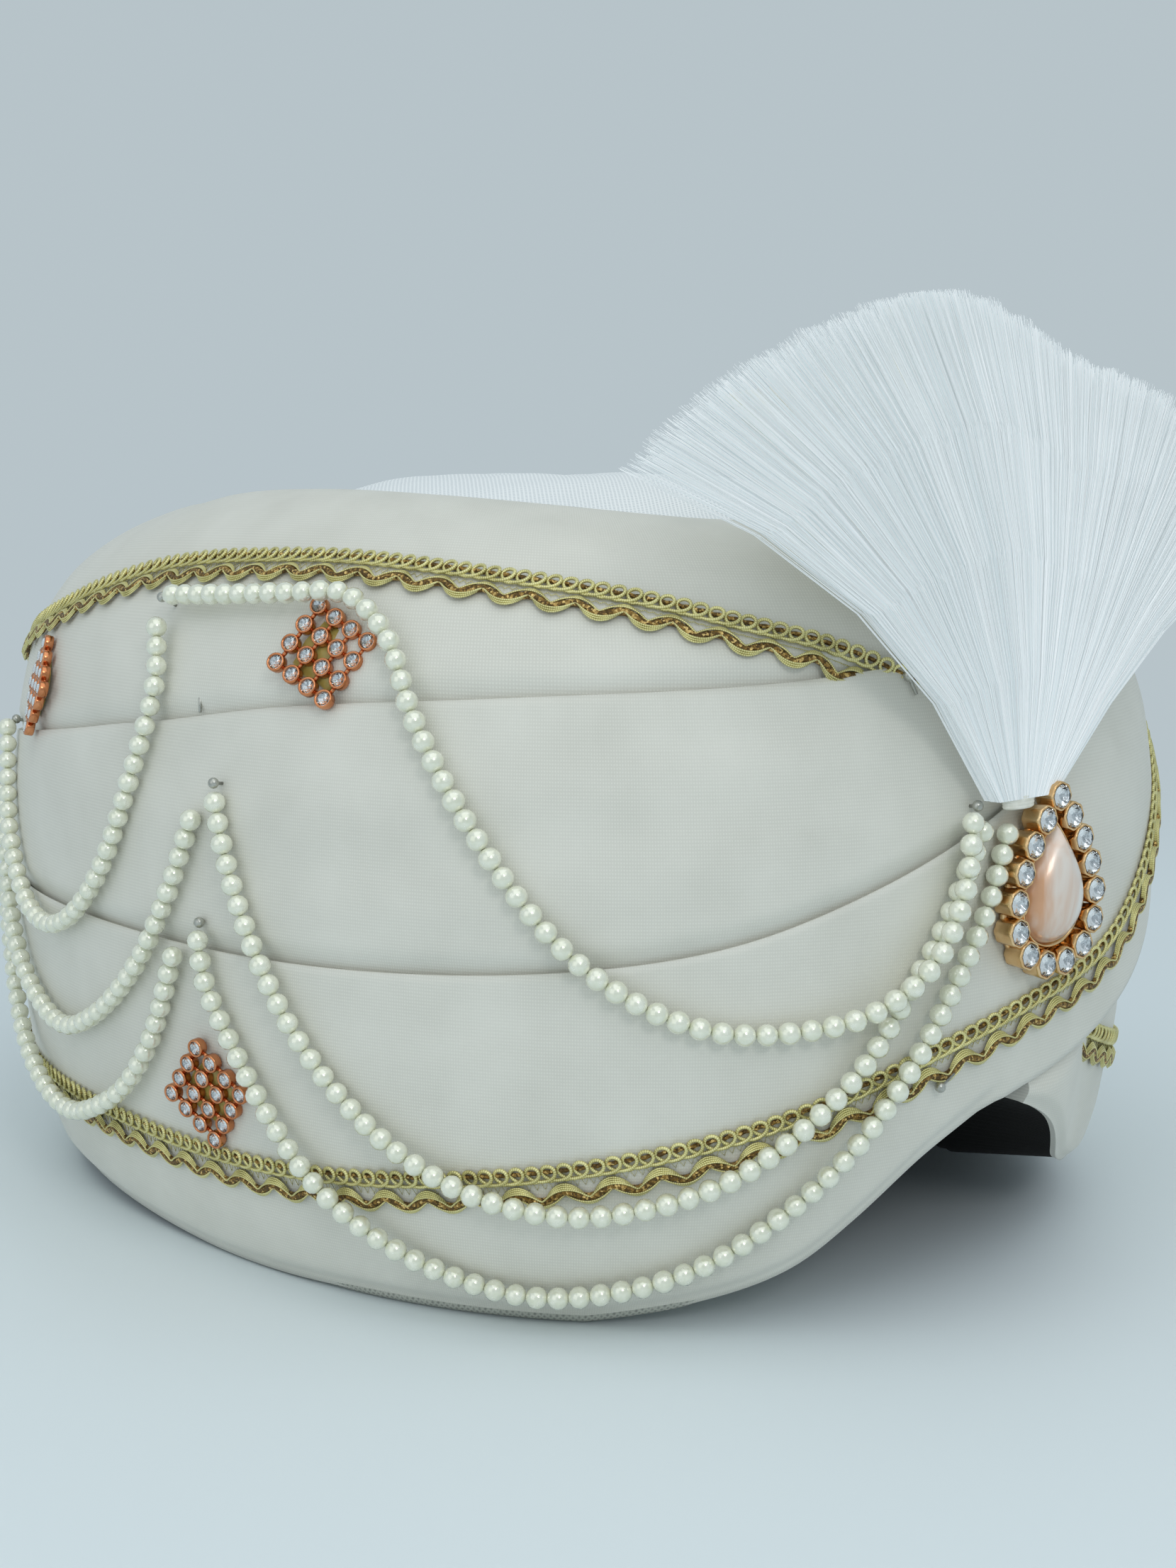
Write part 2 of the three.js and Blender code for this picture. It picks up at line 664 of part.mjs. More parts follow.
const PIN_SIDES = 6;
const pinShape = turned([
  [0, 0],
  [PIN.shank, 0],
  [PIN.shank, PIN.length - PIN.head],
  [PIN.head, PIN.length],
  [0, PIN.length + PIN.head],
], PIN_SIDES);
for (const { name, turn, run } of PINS) {
  add(name, pinShape.clone(), steel, seat(turn, run, PIN.clear));
}

// A stone in its cup: eight sides of crown round a flat table.
const STONE_SIDES = 8;
function stoneCup({ cup, cupHeight, stone, stoneRise, backing }) {
  const table = cupHeight + stoneRise;
  const profile = [[0, backing], [cup, backing], [cup, cupHeight], [stone, table], [0, table]];
  return turned(profile, STONE_SIDES);
}

const corner = (ORNAMENT.rows - 1) * ORNAMENT.pitch * Math.SQRT1_2;
function ornamentShape() {
  const { rows, pitch, backing } = ORNAMENT;
  const corners = [[0, -corner], [corner, 0], [0, corner], [-corner, 0]];
  const plate = new THREE.Shape(corners.map(([x, y]) => new THREE.Vector2(x, y)));
  const shapes = [new THREE.ExtrudeGeometry(plate, { depth: backing, bevelEnabled: false })];
  for (let i = 0; i < rows * rows; i += 1) {
    const x = ((i % rows) - (rows - 1) / 2) * pitch;
    const y = (Math.floor(i / rows) - (rows - 1) / 2) * pitch;
    shapes.push(stoneCup(ORNAMENT).translate(x, y, 0).rotateZ(Math.PI / 4));
  }
  return fuse(shapes);
}
const ornament = ornamentShape();
for (const { name, turn, run } of ORNAMENTS) {
  add(name, ornament.clone(), copper, seat(turn, run, ORNAMENT.clear, corner));
}

// Drop brooch: a ring of stone cups on a pointed plate round a drop pearl.
const DROP = { point: 0.9, fill: 1.16 }; // how far the top narrows, and what makes up the width again
function dropOutline(width, height, count) {
  const points = [];
  for (let i = 0; i < count; i += 1) {
    const angle = (i * 2 * Math.PI) / count;
    const half = (width / 2) * DROP.fill * Math.sin(angle) * Math.sin(angle / 2) ** DROP.point;
    points.push(new THREE.Vector2(half, (height / 2) * Math.cos(angle)));
  }
  return points;
}

const brooch = new THREE.Group();
brooch.position.set(BROOCH.across, -BROOCH.back, BROOCH.height);
brooch.rotation.set(Math.PI / 2, 0, -rad(BROOCH.facing), 'ZYX');
turban.add(brooch);

function broochSetting() {
  const { ring, backing } = BROOCH;
  const even = new THREE.CatmullRomCurve3(
    dropOutline(ring.width, ring.height, 48).map((p) => new THREE.Vector3(p.x, p.y, 0)),
    true,
  ).getSpacedPoints(ring.cups);
  const plate = new THREE.Shape(even.slice(0, -1).map((p) => new THREE.Vector2(p.x, p.y)));
  const shapes = [new THREE.ExtrudeGeometry(plate, { depth: backing, bevelEnabled: false })];
  for (const spot of even.slice(0, -1)) {
    shapes.push(stoneCup(BROOCH).translate(spot.x, spot.y, 0));
  }
  return fuse(shapes);
}
add('brooch_setting', broochSetting(), gold, brooch);

function dropPearl() {
  const { width, height, rise, lower } = BROOCH.drop;
  const levels = [0, 0.35, 0.65, 0.88];
  const foot = BROOCH.backing + GAP;
  const outline = dropOutline(width, height, 16);
  const sections = levels.map((level) => {
    const shrink = Math.sqrt(1 - level * level);
    return outline.map((p) => new THREE.Vector3(p.x * shrink, p.y * shrink - lower, foot + rise * level));
  });
  sections.push(outline.map((p) => new THREE.Vector3(p.x * 0.2, p.y * 0.2 - lower, foot + rise)));
  return loft(sections);
}
add('brooch_pearl', dropPearl(), peach, brooch);

// Bristle plume: locks that fan out of a bound head and lie back in front of the brow.
// "place" runs from -1, the wearer's right edge, to 1, and "share" from root to tip.
function plumePoint(place, share, depth) {
  const dip = PLUME.dip * Math.exp(-(((place - PLUME.dipAt) / PLUME.dipWidth) ** 2));
  const along = share * PLUME.length * (1 - dip);
  const angle = PLUME.tilt + PLUME.spread * place * (1 - PLUME.splay + PLUME.splay * share);
  const turnBack = rad((place < 0 ? PLUME.wrapRight : PLUME.wrapLeft) * Math.abs(place));
  const sideways = along * Math.sin(rad(angle));
  const upward = along * Math.cos(rad(angle));
  const straight = Math.abs(sideways) * Math.sin(turnBack) + upward * Math.sin(rad(PLUME.lean));
  return new THREE.Vector3(
    PLUME.root + PLUME.rootHalf * place + sideways * Math.cos(turnBack),
    -PLUME.front + straight * share ** PLUME.curl + depth,
    PLUME.height + upward * Math.cos(rad(PLUME.lean)),
  );
}

function plumeLock(number) {
  const middle = -1 + (2 * number + 1) / PLUME.locks;
  const half = 1.06 / PLUME.locks;
  const tip = 1 - (number % 2) * PLUME.ragged;
  const sections = [0.04, 0.45, 0.75, 1].map((share) => {
    const depth = THREE.MathUtils.lerp(PLUME.rootDepth, PLUME.tipDepth, share) / 2;
    const corner = (side, front) => plumePoint(middle + side * half, tip * share, front * depth);
    return [corner(-1, -1), corner(1, -1), corner(1, 1), corner(-1, 1)];
  });
  return loft(sections);
}

function plumeShape() {
  const head = turned([[0, 0], [PLUME.head, 0], [PLUME.head, PLUME.headHeight], [0, PLUME.headHeight]], 10);
  head.scale(1, 0.42, 1).translate(PLUME.across, -PLUME.front, PLUME.height + PLUME.headFoot);
  const locks = Array.from({ length: PLUME.locks }, (_, number) => plumeLock(number));
  return fuse([head, ...locks]);
}
add('plume', plumeShape(), bristle);

// Pleated fan: a stiffened cloth in sharp folds that rises behind the plume.
function fanSection(number) {
  const angle = -FAN.spread + (number * 2 * FAN.spread) / FAN.pleats;
  const fold = number % 2 ? FAN.pleat : 0;
  const tip = FAN.length - (angle < 0 ? FAN.dip * Math.sin((-Math.PI * angle) / FAN.spread) : 0);
  const at = (along, depth) => {
    const reach = along * Math.cos(rad(angle));
    const open = along / FAN.length;
    return new THREE.Vector3(
      FAN.across + along * Math.sin(rad(angle)),
      -fanLineAt(reach) + fold * open + depth,
      FAN.foot + reach,
    );
  };
  const steps = [FAN.start, 0.33 * FAN.length, 0.66 * FAN.length, tip];
  return [...steps.map((along) => at(along, 0)), ...steps.reverse().map((along) => at(along, FAN.cloth))];
}
const fanSections = Array.from({ length: FAN.pleats + 1 }, (_, number) => fanSection(number));
add('pleated_fan', loft(fanSections), fanCloth);

// The origin is under the middle of the whole turban, on the table.
const bounds = new THREE.Box3().setFromObject(turban);
const middle = bounds.getCenter(new THREE.Vector3());
turban.position.set(-middle.x, -middle.y, -bounds.min.z);

export default turban;
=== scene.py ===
import math

import bmesh
import bpy
import numpy as np
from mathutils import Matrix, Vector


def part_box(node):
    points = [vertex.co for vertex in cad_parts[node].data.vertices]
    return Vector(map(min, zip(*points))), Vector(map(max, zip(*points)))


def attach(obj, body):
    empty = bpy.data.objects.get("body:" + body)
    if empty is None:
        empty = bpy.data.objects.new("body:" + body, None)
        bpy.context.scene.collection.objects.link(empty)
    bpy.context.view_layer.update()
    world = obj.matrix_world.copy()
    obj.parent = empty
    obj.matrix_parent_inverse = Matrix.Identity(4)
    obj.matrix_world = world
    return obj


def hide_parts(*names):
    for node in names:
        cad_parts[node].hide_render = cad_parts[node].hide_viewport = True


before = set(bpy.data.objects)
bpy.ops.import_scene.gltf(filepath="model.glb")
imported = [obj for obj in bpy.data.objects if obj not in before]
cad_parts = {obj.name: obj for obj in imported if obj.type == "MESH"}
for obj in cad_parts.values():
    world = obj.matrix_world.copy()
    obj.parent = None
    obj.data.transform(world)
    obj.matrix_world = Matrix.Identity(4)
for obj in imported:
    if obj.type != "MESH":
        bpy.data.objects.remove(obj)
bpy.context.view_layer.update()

capLow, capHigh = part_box("inner_cap")
axisAt = np.array([(capLow.x + capHigh.x) / 2, (capLow.y + capHigh.y) / 2, 0.0])  # middle of the head hollow
mm = 0.001

# The turban's own form, as in the solids. A place on it is a turn, in degrees from the middle of the brow towards
# the wearer's right, and a run, which is the height up the outside and then the way on over the rolled edge.
turban = {
    "halfLength": 138, "halfWidth": 117, "squareness": 2.2, "headHalfLength": 98, "headHalfWidth": 81, "lining": 2,
    "capStraight": 98, "capRise": 58, "domePower": 2.6,
    "lipRun": 187, "dropRuns": (118, 165), "archAt": 4, "earLift": (72, 146, 3.5), "gap": 0.3,
    # on the left the lower wrap lies deeper and its hem stands off the table: turns from, full, fading, gone; depth
    "leftInset": (2, 16, 48, 90, 5.5), "leftLift": (12, 30, 50, 78, 6),
    # run, share of the half sizes, height
    "outside": [(0, .905, 0), (12, .945, 12), (25, .97, 25), (45, .992, 45), (70, 1, 70), (95, .992, 95),
                (112, .968, 112), (126, .93, 126), (138, .87, 138), (148, .79, 147), (158, .71, 152.6),
                (168, .64, 155), (177, .585, 153.6), (187, .535, 148.6)],
    # run, share of the cap, height
    "inside": [(0, 1, 0), (90, 1, 90), (120, 1, 112), (140, .985, 121.5), (158, .93, 131.5), (172, .86, 139.2),
               (187, .75, 146.8)],
    # turn, how far the rolled edge hangs below the even ring of the solids
    "rollDrop": [(-180, 2), (-110, 0.6), (-60, 1), (-30, 3.5), (0, 6), (16, 6.6), (24, 6.4), (34, 5.5), (47, 3.9),
                 (64, 1.9), (83, 0.8), (98, 1.4), (115, 4), (130, 4.5), (150, 3.5), (180, 2)],
    # degrees from the middle of the brow arch, height of the hem
    "arch": [(0, 41.4), (8, 31.7), (14, 21.7), (20, 12.2), (28, 5), (36, 1.4), (40, 0)],
    # edges of the folds: turn, run
    "crossingTop": [(180, 66), (110, 66.5), (65, 66.5), (42, 70), (31, 74), (21, 80.5), (7, 92), (-8, 108),
                    (-24, 122), (-32, 133), (-40, 150), (-48, 172), (-54, 187), (-180, 187)],
    "crossingFoot": [(4, 41.4), (-4, 46.5), (-13, 53), (-20, 59), (-30, 70), (-50, 98), (-60, 108), (-72, 112.5),
                     (-85, 110), (-100, 104), (-130, 97), (-180, 93)],
    "middleTop": [(-24, 123), (0, 123), (13, 122), (26, 119.6), (52, 116.8), (73, 113.4), (89, 107.7),
                  (100, 103.8), (130, 97), (180, 93)],
}


def smoothRows(rows, column=1):
    table = np.array(sorted(rows), float)
    x, y = table[:, 0], table[:, column]
    secant = np.diff(y) / np.diff(x)
    slope = np.concatenate([secant[:1], (secant[:-1] + secant[1:]) / 2, secant[-1:]])

    def at(t):
        t = np.clip(np.asarray(t, float), x[0], x[-1])
        i = np.clip(np.searchsorted(x, t, side="right") - 1, 0, len(x) - 2)
        step = x[i + 1] - x[i]
        p = (t - x[i]) / step
        return ((2 * p**3 - 3 * p**2 + 1) * y[i] + (p**3 - 2 * p**2 + p) * step * slope[i]
                + (3 * p**2 - 2 * p**3) * y[i + 1] + (p**3 - p**2) * step * slope[i + 1])

    return at


capHalves = [turban[size] + turban["lining"] for size in ("headHalfWidth", "headHalfLength")]
swellAt, heightAt = smoothRows(turban["outside"], 1), smoothRows(turban["outside"], 2)
insideShareAt, insideHeightAt = smoothRows(turban["inside"], 1), smoothRows(turban["inside"], 2)
rollDropAt = smoothRows(turban["rollDrop"])
archHeightAt = smoothRows(turban["arch"])
crossingTopAt, crossingFootAt = smoothRows(turban["crossingTop"]), smoothRows(turban["crossingFoot"])
middleTopAt = smoothRows(turban["middleTop"])


def easeIn(t, start, end):
    s = np.clip((np.asarray(t, float) - start) / (end - start), 0, 1)
    return s * s * (3 - 2 * s)


def oval(turn, halfWidth, halfLength, height):
    power = 2 / turban["squareness"]
    side, ahead = np.sin(np.radians(turn)), np.cos(np.radians(turn))
    return np.stack(np.broadcast_arrays(-np.sign(side) * halfWidth * np.abs(side) ** power,
                                        -np.sign(ahead) * halfLength * np.abs(ahead) ** power, height), -1)


# A point on the cloth, moved off it by lift, square to the section.
def onCloth(turn, run, lift=0.0):
    turn, run, lift = np.broadcast_arrays(np.asarray(turn, float), np.clip(run, 0, turban["lipRun"]), lift)
    rings = [oval(turn, turban["halfWidth"] * swellAt(r), turban["halfLength"] * swellAt(r), heightAt(r))
             for r in (run, np.maximum(run - 1, 0), np.minimum(run + 1, turban["lipRun"]))]
    radius = [np.hypot(ring[..., 0], ring[..., 1]) for ring in rings]
    outward, upward = rings[2][..., 2] - rings[1][..., 2], radius[1] - radius[2]
    size = np.hypot(outward, upward)
    spread = 1 + lift * outward / size / radius[0]
    point = rings[0]
    drop = rollDropAt(turn) * easeIn(run, *turban["dropRuns"])
    return np.stack([point[..., 0] * spread, point[..., 1] * spread, point[..., 2] + lift * upward / size - drop], -1)


def unit(vectors):
    return vectors / np.linalg.norm(vectors, axis=-1, keepdims=True)


def outOf(turn, run):
    return unit(onCloth(turn, run, 1) - onCloth(turn, run))


def onCap(turn, run, clear=0.0):
    share = insideShareAt(run)
    return oval(turn, *(half * share + clear for half in capHalves),
                insideHeightAt(run) - rollDropAt(turn) * easeIn(run, *turban["dropRuns"]))


def onLeft(name, turn):
    start, full, fade, end, depth = turban[name]
    return depth * easeIn(-turn, start, full) * (1 - easeIn(-turn, fade, end))


def hemAt(turn):
    turn = np.asarray(turn, float)
    away = np.abs(turn - turban["archAt"])
    start, end, height = turban["earLift"]
    behind = np.clip((np.abs(turn) - start) / (end - start), 0, 1)
    arch = np.where(away < 40, np.maximum(0, archHeightAt(away)), 0)
    return arch + height * np.sin(np.pi * behind) ** 2 + onLeft("leftLift", turn)


def addObject(name, data):
    piece = bpy.data.objects.new(name, data)
    bpy.context.scene.collection.objects.link(piece)
    return piece


# Meshes: points come in millimetres about the turban's axis and go into the frame in metres.
def makeObject(name, points, faces, material, uv=None, sharp=None, backing=None, backed=()):
    mesh = bpy.data.meshes.new(name)
    mesh.from_pydata((np.asarray(points, float).reshape(-1, 3) * mm + axisAt).tolist(), [], faces)
    if uv is not None:
        layer = mesh.uv_layers.new(name="cloth")
        corner = np.zeros(len(mesh.loops), np.int32)
        mesh.loops.foreach_get("vertex_index", corner)
        layer.data.foreach_set("uv", (np.asarray(uv, float).reshape(-1, 2) * mm)[corner].astype(np.float32).ravel())
    work = bmesh.new()
    work.from_mesh(mesh)
    for face in work.faces:
        face.smooth = True
        face.material_index = int(face.index in backed)
    if sharp is not None:
        for edge in work.edges:
            if all(v.index in sharp for v in edge.verts):
                edge.smooth = False
    bmesh.ops.remove_doubles(work, verts=work.verts, dist=1e-7)  # poles and seams closed
    bmesh.ops.recalc_face_normals(work, faces=work.faces)
    work.to_mesh(mesh)
    work.free()
    mesh.materials.append(material)
    if backing is not None:
        mesh.materials.append(backing)
    return addObject(name, mesh)


def gridFaces(columns, rows, closeColumns=False, closeRows=False):
    faces = []
    for c in range(columns if closeColumns else columns - 1):
        d = (c + 1) % columns
        for r in range(rows if closeRows else rows - 1):
            s = (r + 1) % rows
            faces.append((c * rows + r, d * rows + r, d * rows + s, c * rows + s))
    return faces


def joinPieces(name, pieces):
    work = bmesh.new()
    materials = []
    for piece in pieces:
        start = len(work.faces)
        work.from_mesh(piece.data)
        work.faces.ensure_lookup_table()
        places = []
        for material in piece.data.materials:
            if material not in materials:
                materials.append(material)
            places.append(materials.index(material))
        for face in work.faces[start:]:
            face.material_index = places[face.material_index]
    mesh = bpy.data.meshes.new(name)
    work.to_mesh(mesh)
    work.free()
    for material in materials:
        mesh.materials.append(material)
    joined = addObject(name, mesh)
    for piece in pieces:
        bpy.data.objects.remove(piece)
    return joined


def place(piece, slot, *nodes):
    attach(piece, "root")
    if nodes:
        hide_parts(*nodes)
    return piece


# One node with its settings and links. A key is an input's name or number, or else a property. A link comes from
# an output, or from a node's first output.
def addNode(tree, kind, settings=None, links=None):
    node = tree.nodes.new(kind)
    for key, value in (settings or {}).items():
        if isinstance(key, int) or key in node.inputs:
            node.inputs[key].default_value = value
        else:
            setattr(node, key, value)
    for key, source in (links or {}).items():
        tree.links.new(source.outputs[0] if hasattr(source, "outputs") else source, node.inputs[key])
    return node


def calc(tree, operation, *terms):
    numbers = {key: term for key, term in enumerate(terms) if isinstance(term, (int, float))}
    links = {key: term for key, term in enumerate(terms) if key not in numbers}
    return addNode(tree, "ShaderNodeMath", {"operation": operation, **numbers}, links)


def linear(hexColour):
    channels = [int(hexColour[i:i + 2], 16) / 255 for i in (1, 3, 5)]
    return (*[c / 12.92 if c <= 0.04045 else ((c + 0.055) / 1.055) ** 2.4 for c in channels], 1.0)


def startMaterial(name, settings):
    material = bpy.data.materials.new(name)
    material.use_nodes = True
    tree = material.node_tree
    tree.nodes.clear()
    shader = addNode(tree, "ShaderNodeBsdfPrincipled", settings)
    addNode(tree, "ShaderNodeOutputMaterial", links={"Surface": shader.outputs["BSDF"]})
    return material, tree, shader


def tintBy(tree, shader, factor, dark, light):
    tint = addNode(tree, "ShaderNodeMix", {"data_type": "RGBA", 6: linear(dark), 7: linear(light)}, {0: factor})
    tree.links.new(tint.outputs[2], shader.inputs["Base Color"])


def bumpBy(tree, shader, height, strength, distance):
    bump = addNode(tree, "ShaderNodeBump", {"Strength": strength, "Distance": distance * mm}, {"Height": height})
    tree.links.new(bump.outputs[0], shader.inputs["Normal"])


def noiseOf(tree, settings):
    spot = addNode(tree, "ShaderNodeTexCoord").outputs["Object"]
    return addNode(tree, "ShaderNodeTexNoise", settings, {"Vector": spot}).outputs["Fac"]


bandScale = 0.31416  # a wave texture has one band per unit at this scale


def bandsOf(tree, way, thread, vector, **settings):
    return addNode(tree, "ShaderNodeTexWave", {"bands_direction": way, "Scale": bandScale / (thread * mm), **settings},
                   {"Vector": vector}).outputs["Fac"]


# A plain weave on the cloth map, with the two thread widths in millimetres.
def weaveOf(tree, warp, weft):
    cloth = addNode(tree, "ShaderNodeUVMap", {"uv_map": "cloth"})
    return calc(tree, "MULTIPLY", bandsOf(tree, "X", warp, cloth), bandsOf(tree, "Y", weft, cloth))


def startTree(name, inputs):
    tree = bpy.data.node_groups.new(name, "GeometryNodeTree")
    tree.interface.new_socket("Geometry", in_out="INPUT", socket_type="NodeSocketGeometry")
    tree.interface.new_socket("Geometry", in_out="OUTPUT", socket_type="NodeSocketGeometry")
    for kind, labels in inputs.items():
        for label in labels:
            tree.interface.new_socket(label, in_out="INPUT", socket_type="NodeSocket" + kind)
    return tree, addNode(tree, "NodeGroupInput").outputs


def endTree(tree, shape, material):
    finished = addNode(tree, "GeometryNodeSetMaterial", links={"Geometry": shape, "Material": material})
    addNode(tree, "NodeGroupOutput", links={0: finished})


def randomOf(tree, low, high, links):
    return addNode(tree, "FunctionNodeRandomValue", {"data_type": "FLOAT", 2: low, 3: high}, links).outputs[1]


def storeOn(tree, shape, kind, name, value):
    return addNode(tree, "GeometryNodeStoreNamedAttribute", {"data_type": kind, "domain": "POINT", "Name": name},
                   {"Geometry": shape, "Value": value})


def named(tree, name, kind="FLOAT_VECTOR"):
    return addNode(tree, "GeometryNodeInputNamedAttribute", {"data_type": kind, "Name": name})


# Runs a tree on a piece and keeps the result as a plain mesh.
def growMesh(name, source, tree, values):
    modifier = source.modifiers.new(name, "NODES")
    modifier.node_group = tree
    identifiers = {item.name: item.identifier for item in tree.interface.items_tree
                   if item.item_type == "SOCKET" and item.in_out == "INPUT"}
    for label, value in values.items():
        modifier[identifiers[label]] = value
    bpy.context.view_layer.update()
    depsgraph = bpy.context.evaluated_depsgraph_get()
    mesh = bpy.data.meshes.new_from_object(source.evaluated_get(depsgraph), depsgraph=depsgraph)
    mesh.name = name
    source.modifiers.remove(modifier)
    return addObject(name, mesh)


# A chain of points in the frame, with vector attributes for a tree to read.
def makeTrail(name, points, vectors=None, edges=True):
    mesh = bpy.data.meshes.new(name)
    count = len(points)
    mesh.from_pydata((np.asarray(points) * mm + axisAt).tolist(),
                     [(i, i + 1) for i in range(count - 1)] if edges else [], [])
    for label, values in (vectors or {}).items():
        attribute = mesh.attributes.new(label, "FLOAT_VECTOR", "POINT")
        attribute.data.foreach_set("vector", np.asarray(values, np.float32).ravel())
    return addObject(name, mesh)


print("turban: frame and tools ready")

# Polyester satin, woven: fine ribs of thread show close up, and the long floats give a soft sheen. The thread of
# about 0.25 mm is drawn at twice that to show.
satinFinish = {"light": "#e2e0d6", "dark": "#cbc9be", "thread": 0.5, "rib": 0.08, "cloud": 60}
satin, tree, shader = startMaterial("polyesterSatin", {"Roughness": 0.5, "Sheen Weight": 0.15, "Sheen Roughness": 0.35})
weave = weaveOf(tree, satinFinish["thread"], 1.25 * satinFinish["thread"])
cloud = addNode(tree, "ShaderNodeTexNoise", {"Scale": satinFinish["cloud"], "Detail": 3.0},
                {"Vector": addNode(tree, "ShaderNodeUVMap", {"uv_map": "cloth"})})
tone = calc(tree, "MULTIPLY_ADD", weave, 0.6, cloud.outputs["Fac"])
tintBy(tree, shader, tone, satinFinish["dark"], satinFinish["light"])
bumpBy(tree, shader, weave, 0.4, satinFinish["rib"])

# Black cotton lining: a plain weave that swallows the light.
lining, tree, shader = startMaterial("blackCotton", {"Roughness": 0.92, "Specular IOR Level": 0.25})
weave = weaveOf(tree, 0.7, 0.7)
tintBy(tree, shader, weave, "#0c0b0a", "#201e1c")
bumpBy(tree, shader, weave, 0.3, 0.1)

# The folds: how the satin stands off the form, and how its free edges lie over the next fold.
fold = {"step": 0.8, "rows": 40, "stand": 0.75, "bulge": 0.35, "tuck": 1.8, "tuckReach": 6.0, "overhang": 1.4,
        "hemRound": 1.5, "ripple": 0.22, "seed": 11, "turnedEdge": [(0, 1.2), (0.85, 0.8), (1.1, 0.42), (1, 0.08)]}
rippleWaves = np.random.default_rng(fold["seed"])
rippleTable = [(rippleWaves.integers(2, 9), rippleWaves.uniform(0.12, 0.42), rippleWaves.uniform(0, 6.28))
               for _ in range(12)]


def rippleAt(turn, run):
    total = 0
    for around, across, phase in rippleTable:
        total = total + np.sin(around * np.radians(turn) + across * run + phase) / (1 + 4 * across)
    return fold["ripple"] * total / 2


def nearBrow(turn):
    return easeIn(turn, -78, -58)


def facingShows(turn):
    return easeIn(turn, 20, 36) * (1 - easeIn(turn, 66, 90))


def hemLift(turn):  # the satin's hem stands off the table a little where the facing shows under it
    return 0.4 + 1.8 * facingShows(turn)


def leftTopAt(turn):
    return np.minimum(crossingTopAt(np.abs(turn)), crossingFootAt(turn) - turban["gap"])


def asLeft(turn):
    return np.where(turn > 180, turn - 360, turn)


foldLines = {
    "crossing_fold": {
        "span": (-180, 180), "hem": lambda t: easeIn(t, 3, 6),
        "foot": lambda t: np.where(t >= 4, hemAt(t) + hemLift(t) * easeIn(t, 4, 12), crossingFootAt(t)),
        "top": lambda t: np.minimum(turban["lipRun"], crossingTopAt(t)),
        "footOver": nearBrow, "topOver": lambda t: easeIn(t, -54, -46),
    },
    "lower_fold_left": {
        "span": (-180, 0), "hem": lambda t: 1 + 0 * t, "foot": lambda t: hemAt(t) + 0.4, "top": leftTopAt,
        "footOver": lambda t: 0 * t, "topOver": lambda t: 1 - nearBrow(t), "inset": lambda t: onLeft("leftInset", t),
    },
    "middle_fold": {
        "span": (-23, 327), "hem": lambda t: 0 * t,
        "foot": lambda t: np.where(t > 180, leftTopAt(asLeft(t)), crossingTopAt(t)) + turban["gap"],
        "top": lambda t: np.where(t > 180, crossingFootAt(asLeft(t)) - turban["gap"], middleTopAt(t)),
        "footOver": lambda t: 0 * t, "topOver": lambda t: np.where(t > 180, 1 - nearBrow(asLeft(t)), 1.0),
    },
    "upper_fold": {
        "span": (-52, 180), "hem": lambda t: 0 * t,
        "foot": lambda t: np.where(t > -24, np.maximum(crossingTopAt(t), middleTopAt(t)) + turban["gap"],
                                   crossingTopAt(t) + 1),
        "top": lambda t: turban["lipRun"] + 0 * t,
        "footOver": lambda t: 0 * t, "topOver": lambda t: 0 * t,
    },
}


def foldLift(lines, turn, run):
    foot, top = lines["foot"](turn), lines["top"](turn)
    share = np.clip((run - foot) / np.maximum(top - foot, 0.1), 0, 1)
    lift = fold["stand"] + fold["bulge"] * np.sin(np.pi * share)
    if "inset" in lines:
        lift = lift - lines["inset"](turn)
    lift = lift + rippleAt(turn, run) * np.minimum(1, 4 * share) * np.minimum(1, 4 * (1 - share))
    tucked = fold["tuck"] * (1 - lines["footOver"](turn)) * (1 - lines["hem"](turn))
    lift = lift - tucked * (1 - easeIn(run - foot, 0, fold["tuckReach"]))
    lift = lift - fold["hemRound"] * lines["hem"](turn) * (1 - easeIn(run - foot, 0, 4))
    atLip = top > turban["lipRun"] - 0.5
    tucked = np.where(atLip, 0.6, fold["tuck"] * (1 - lines["topOver"](turn)))
    return lift - tucked * (1 - easeIn(top - run, 0, fold["tuckReach"]))


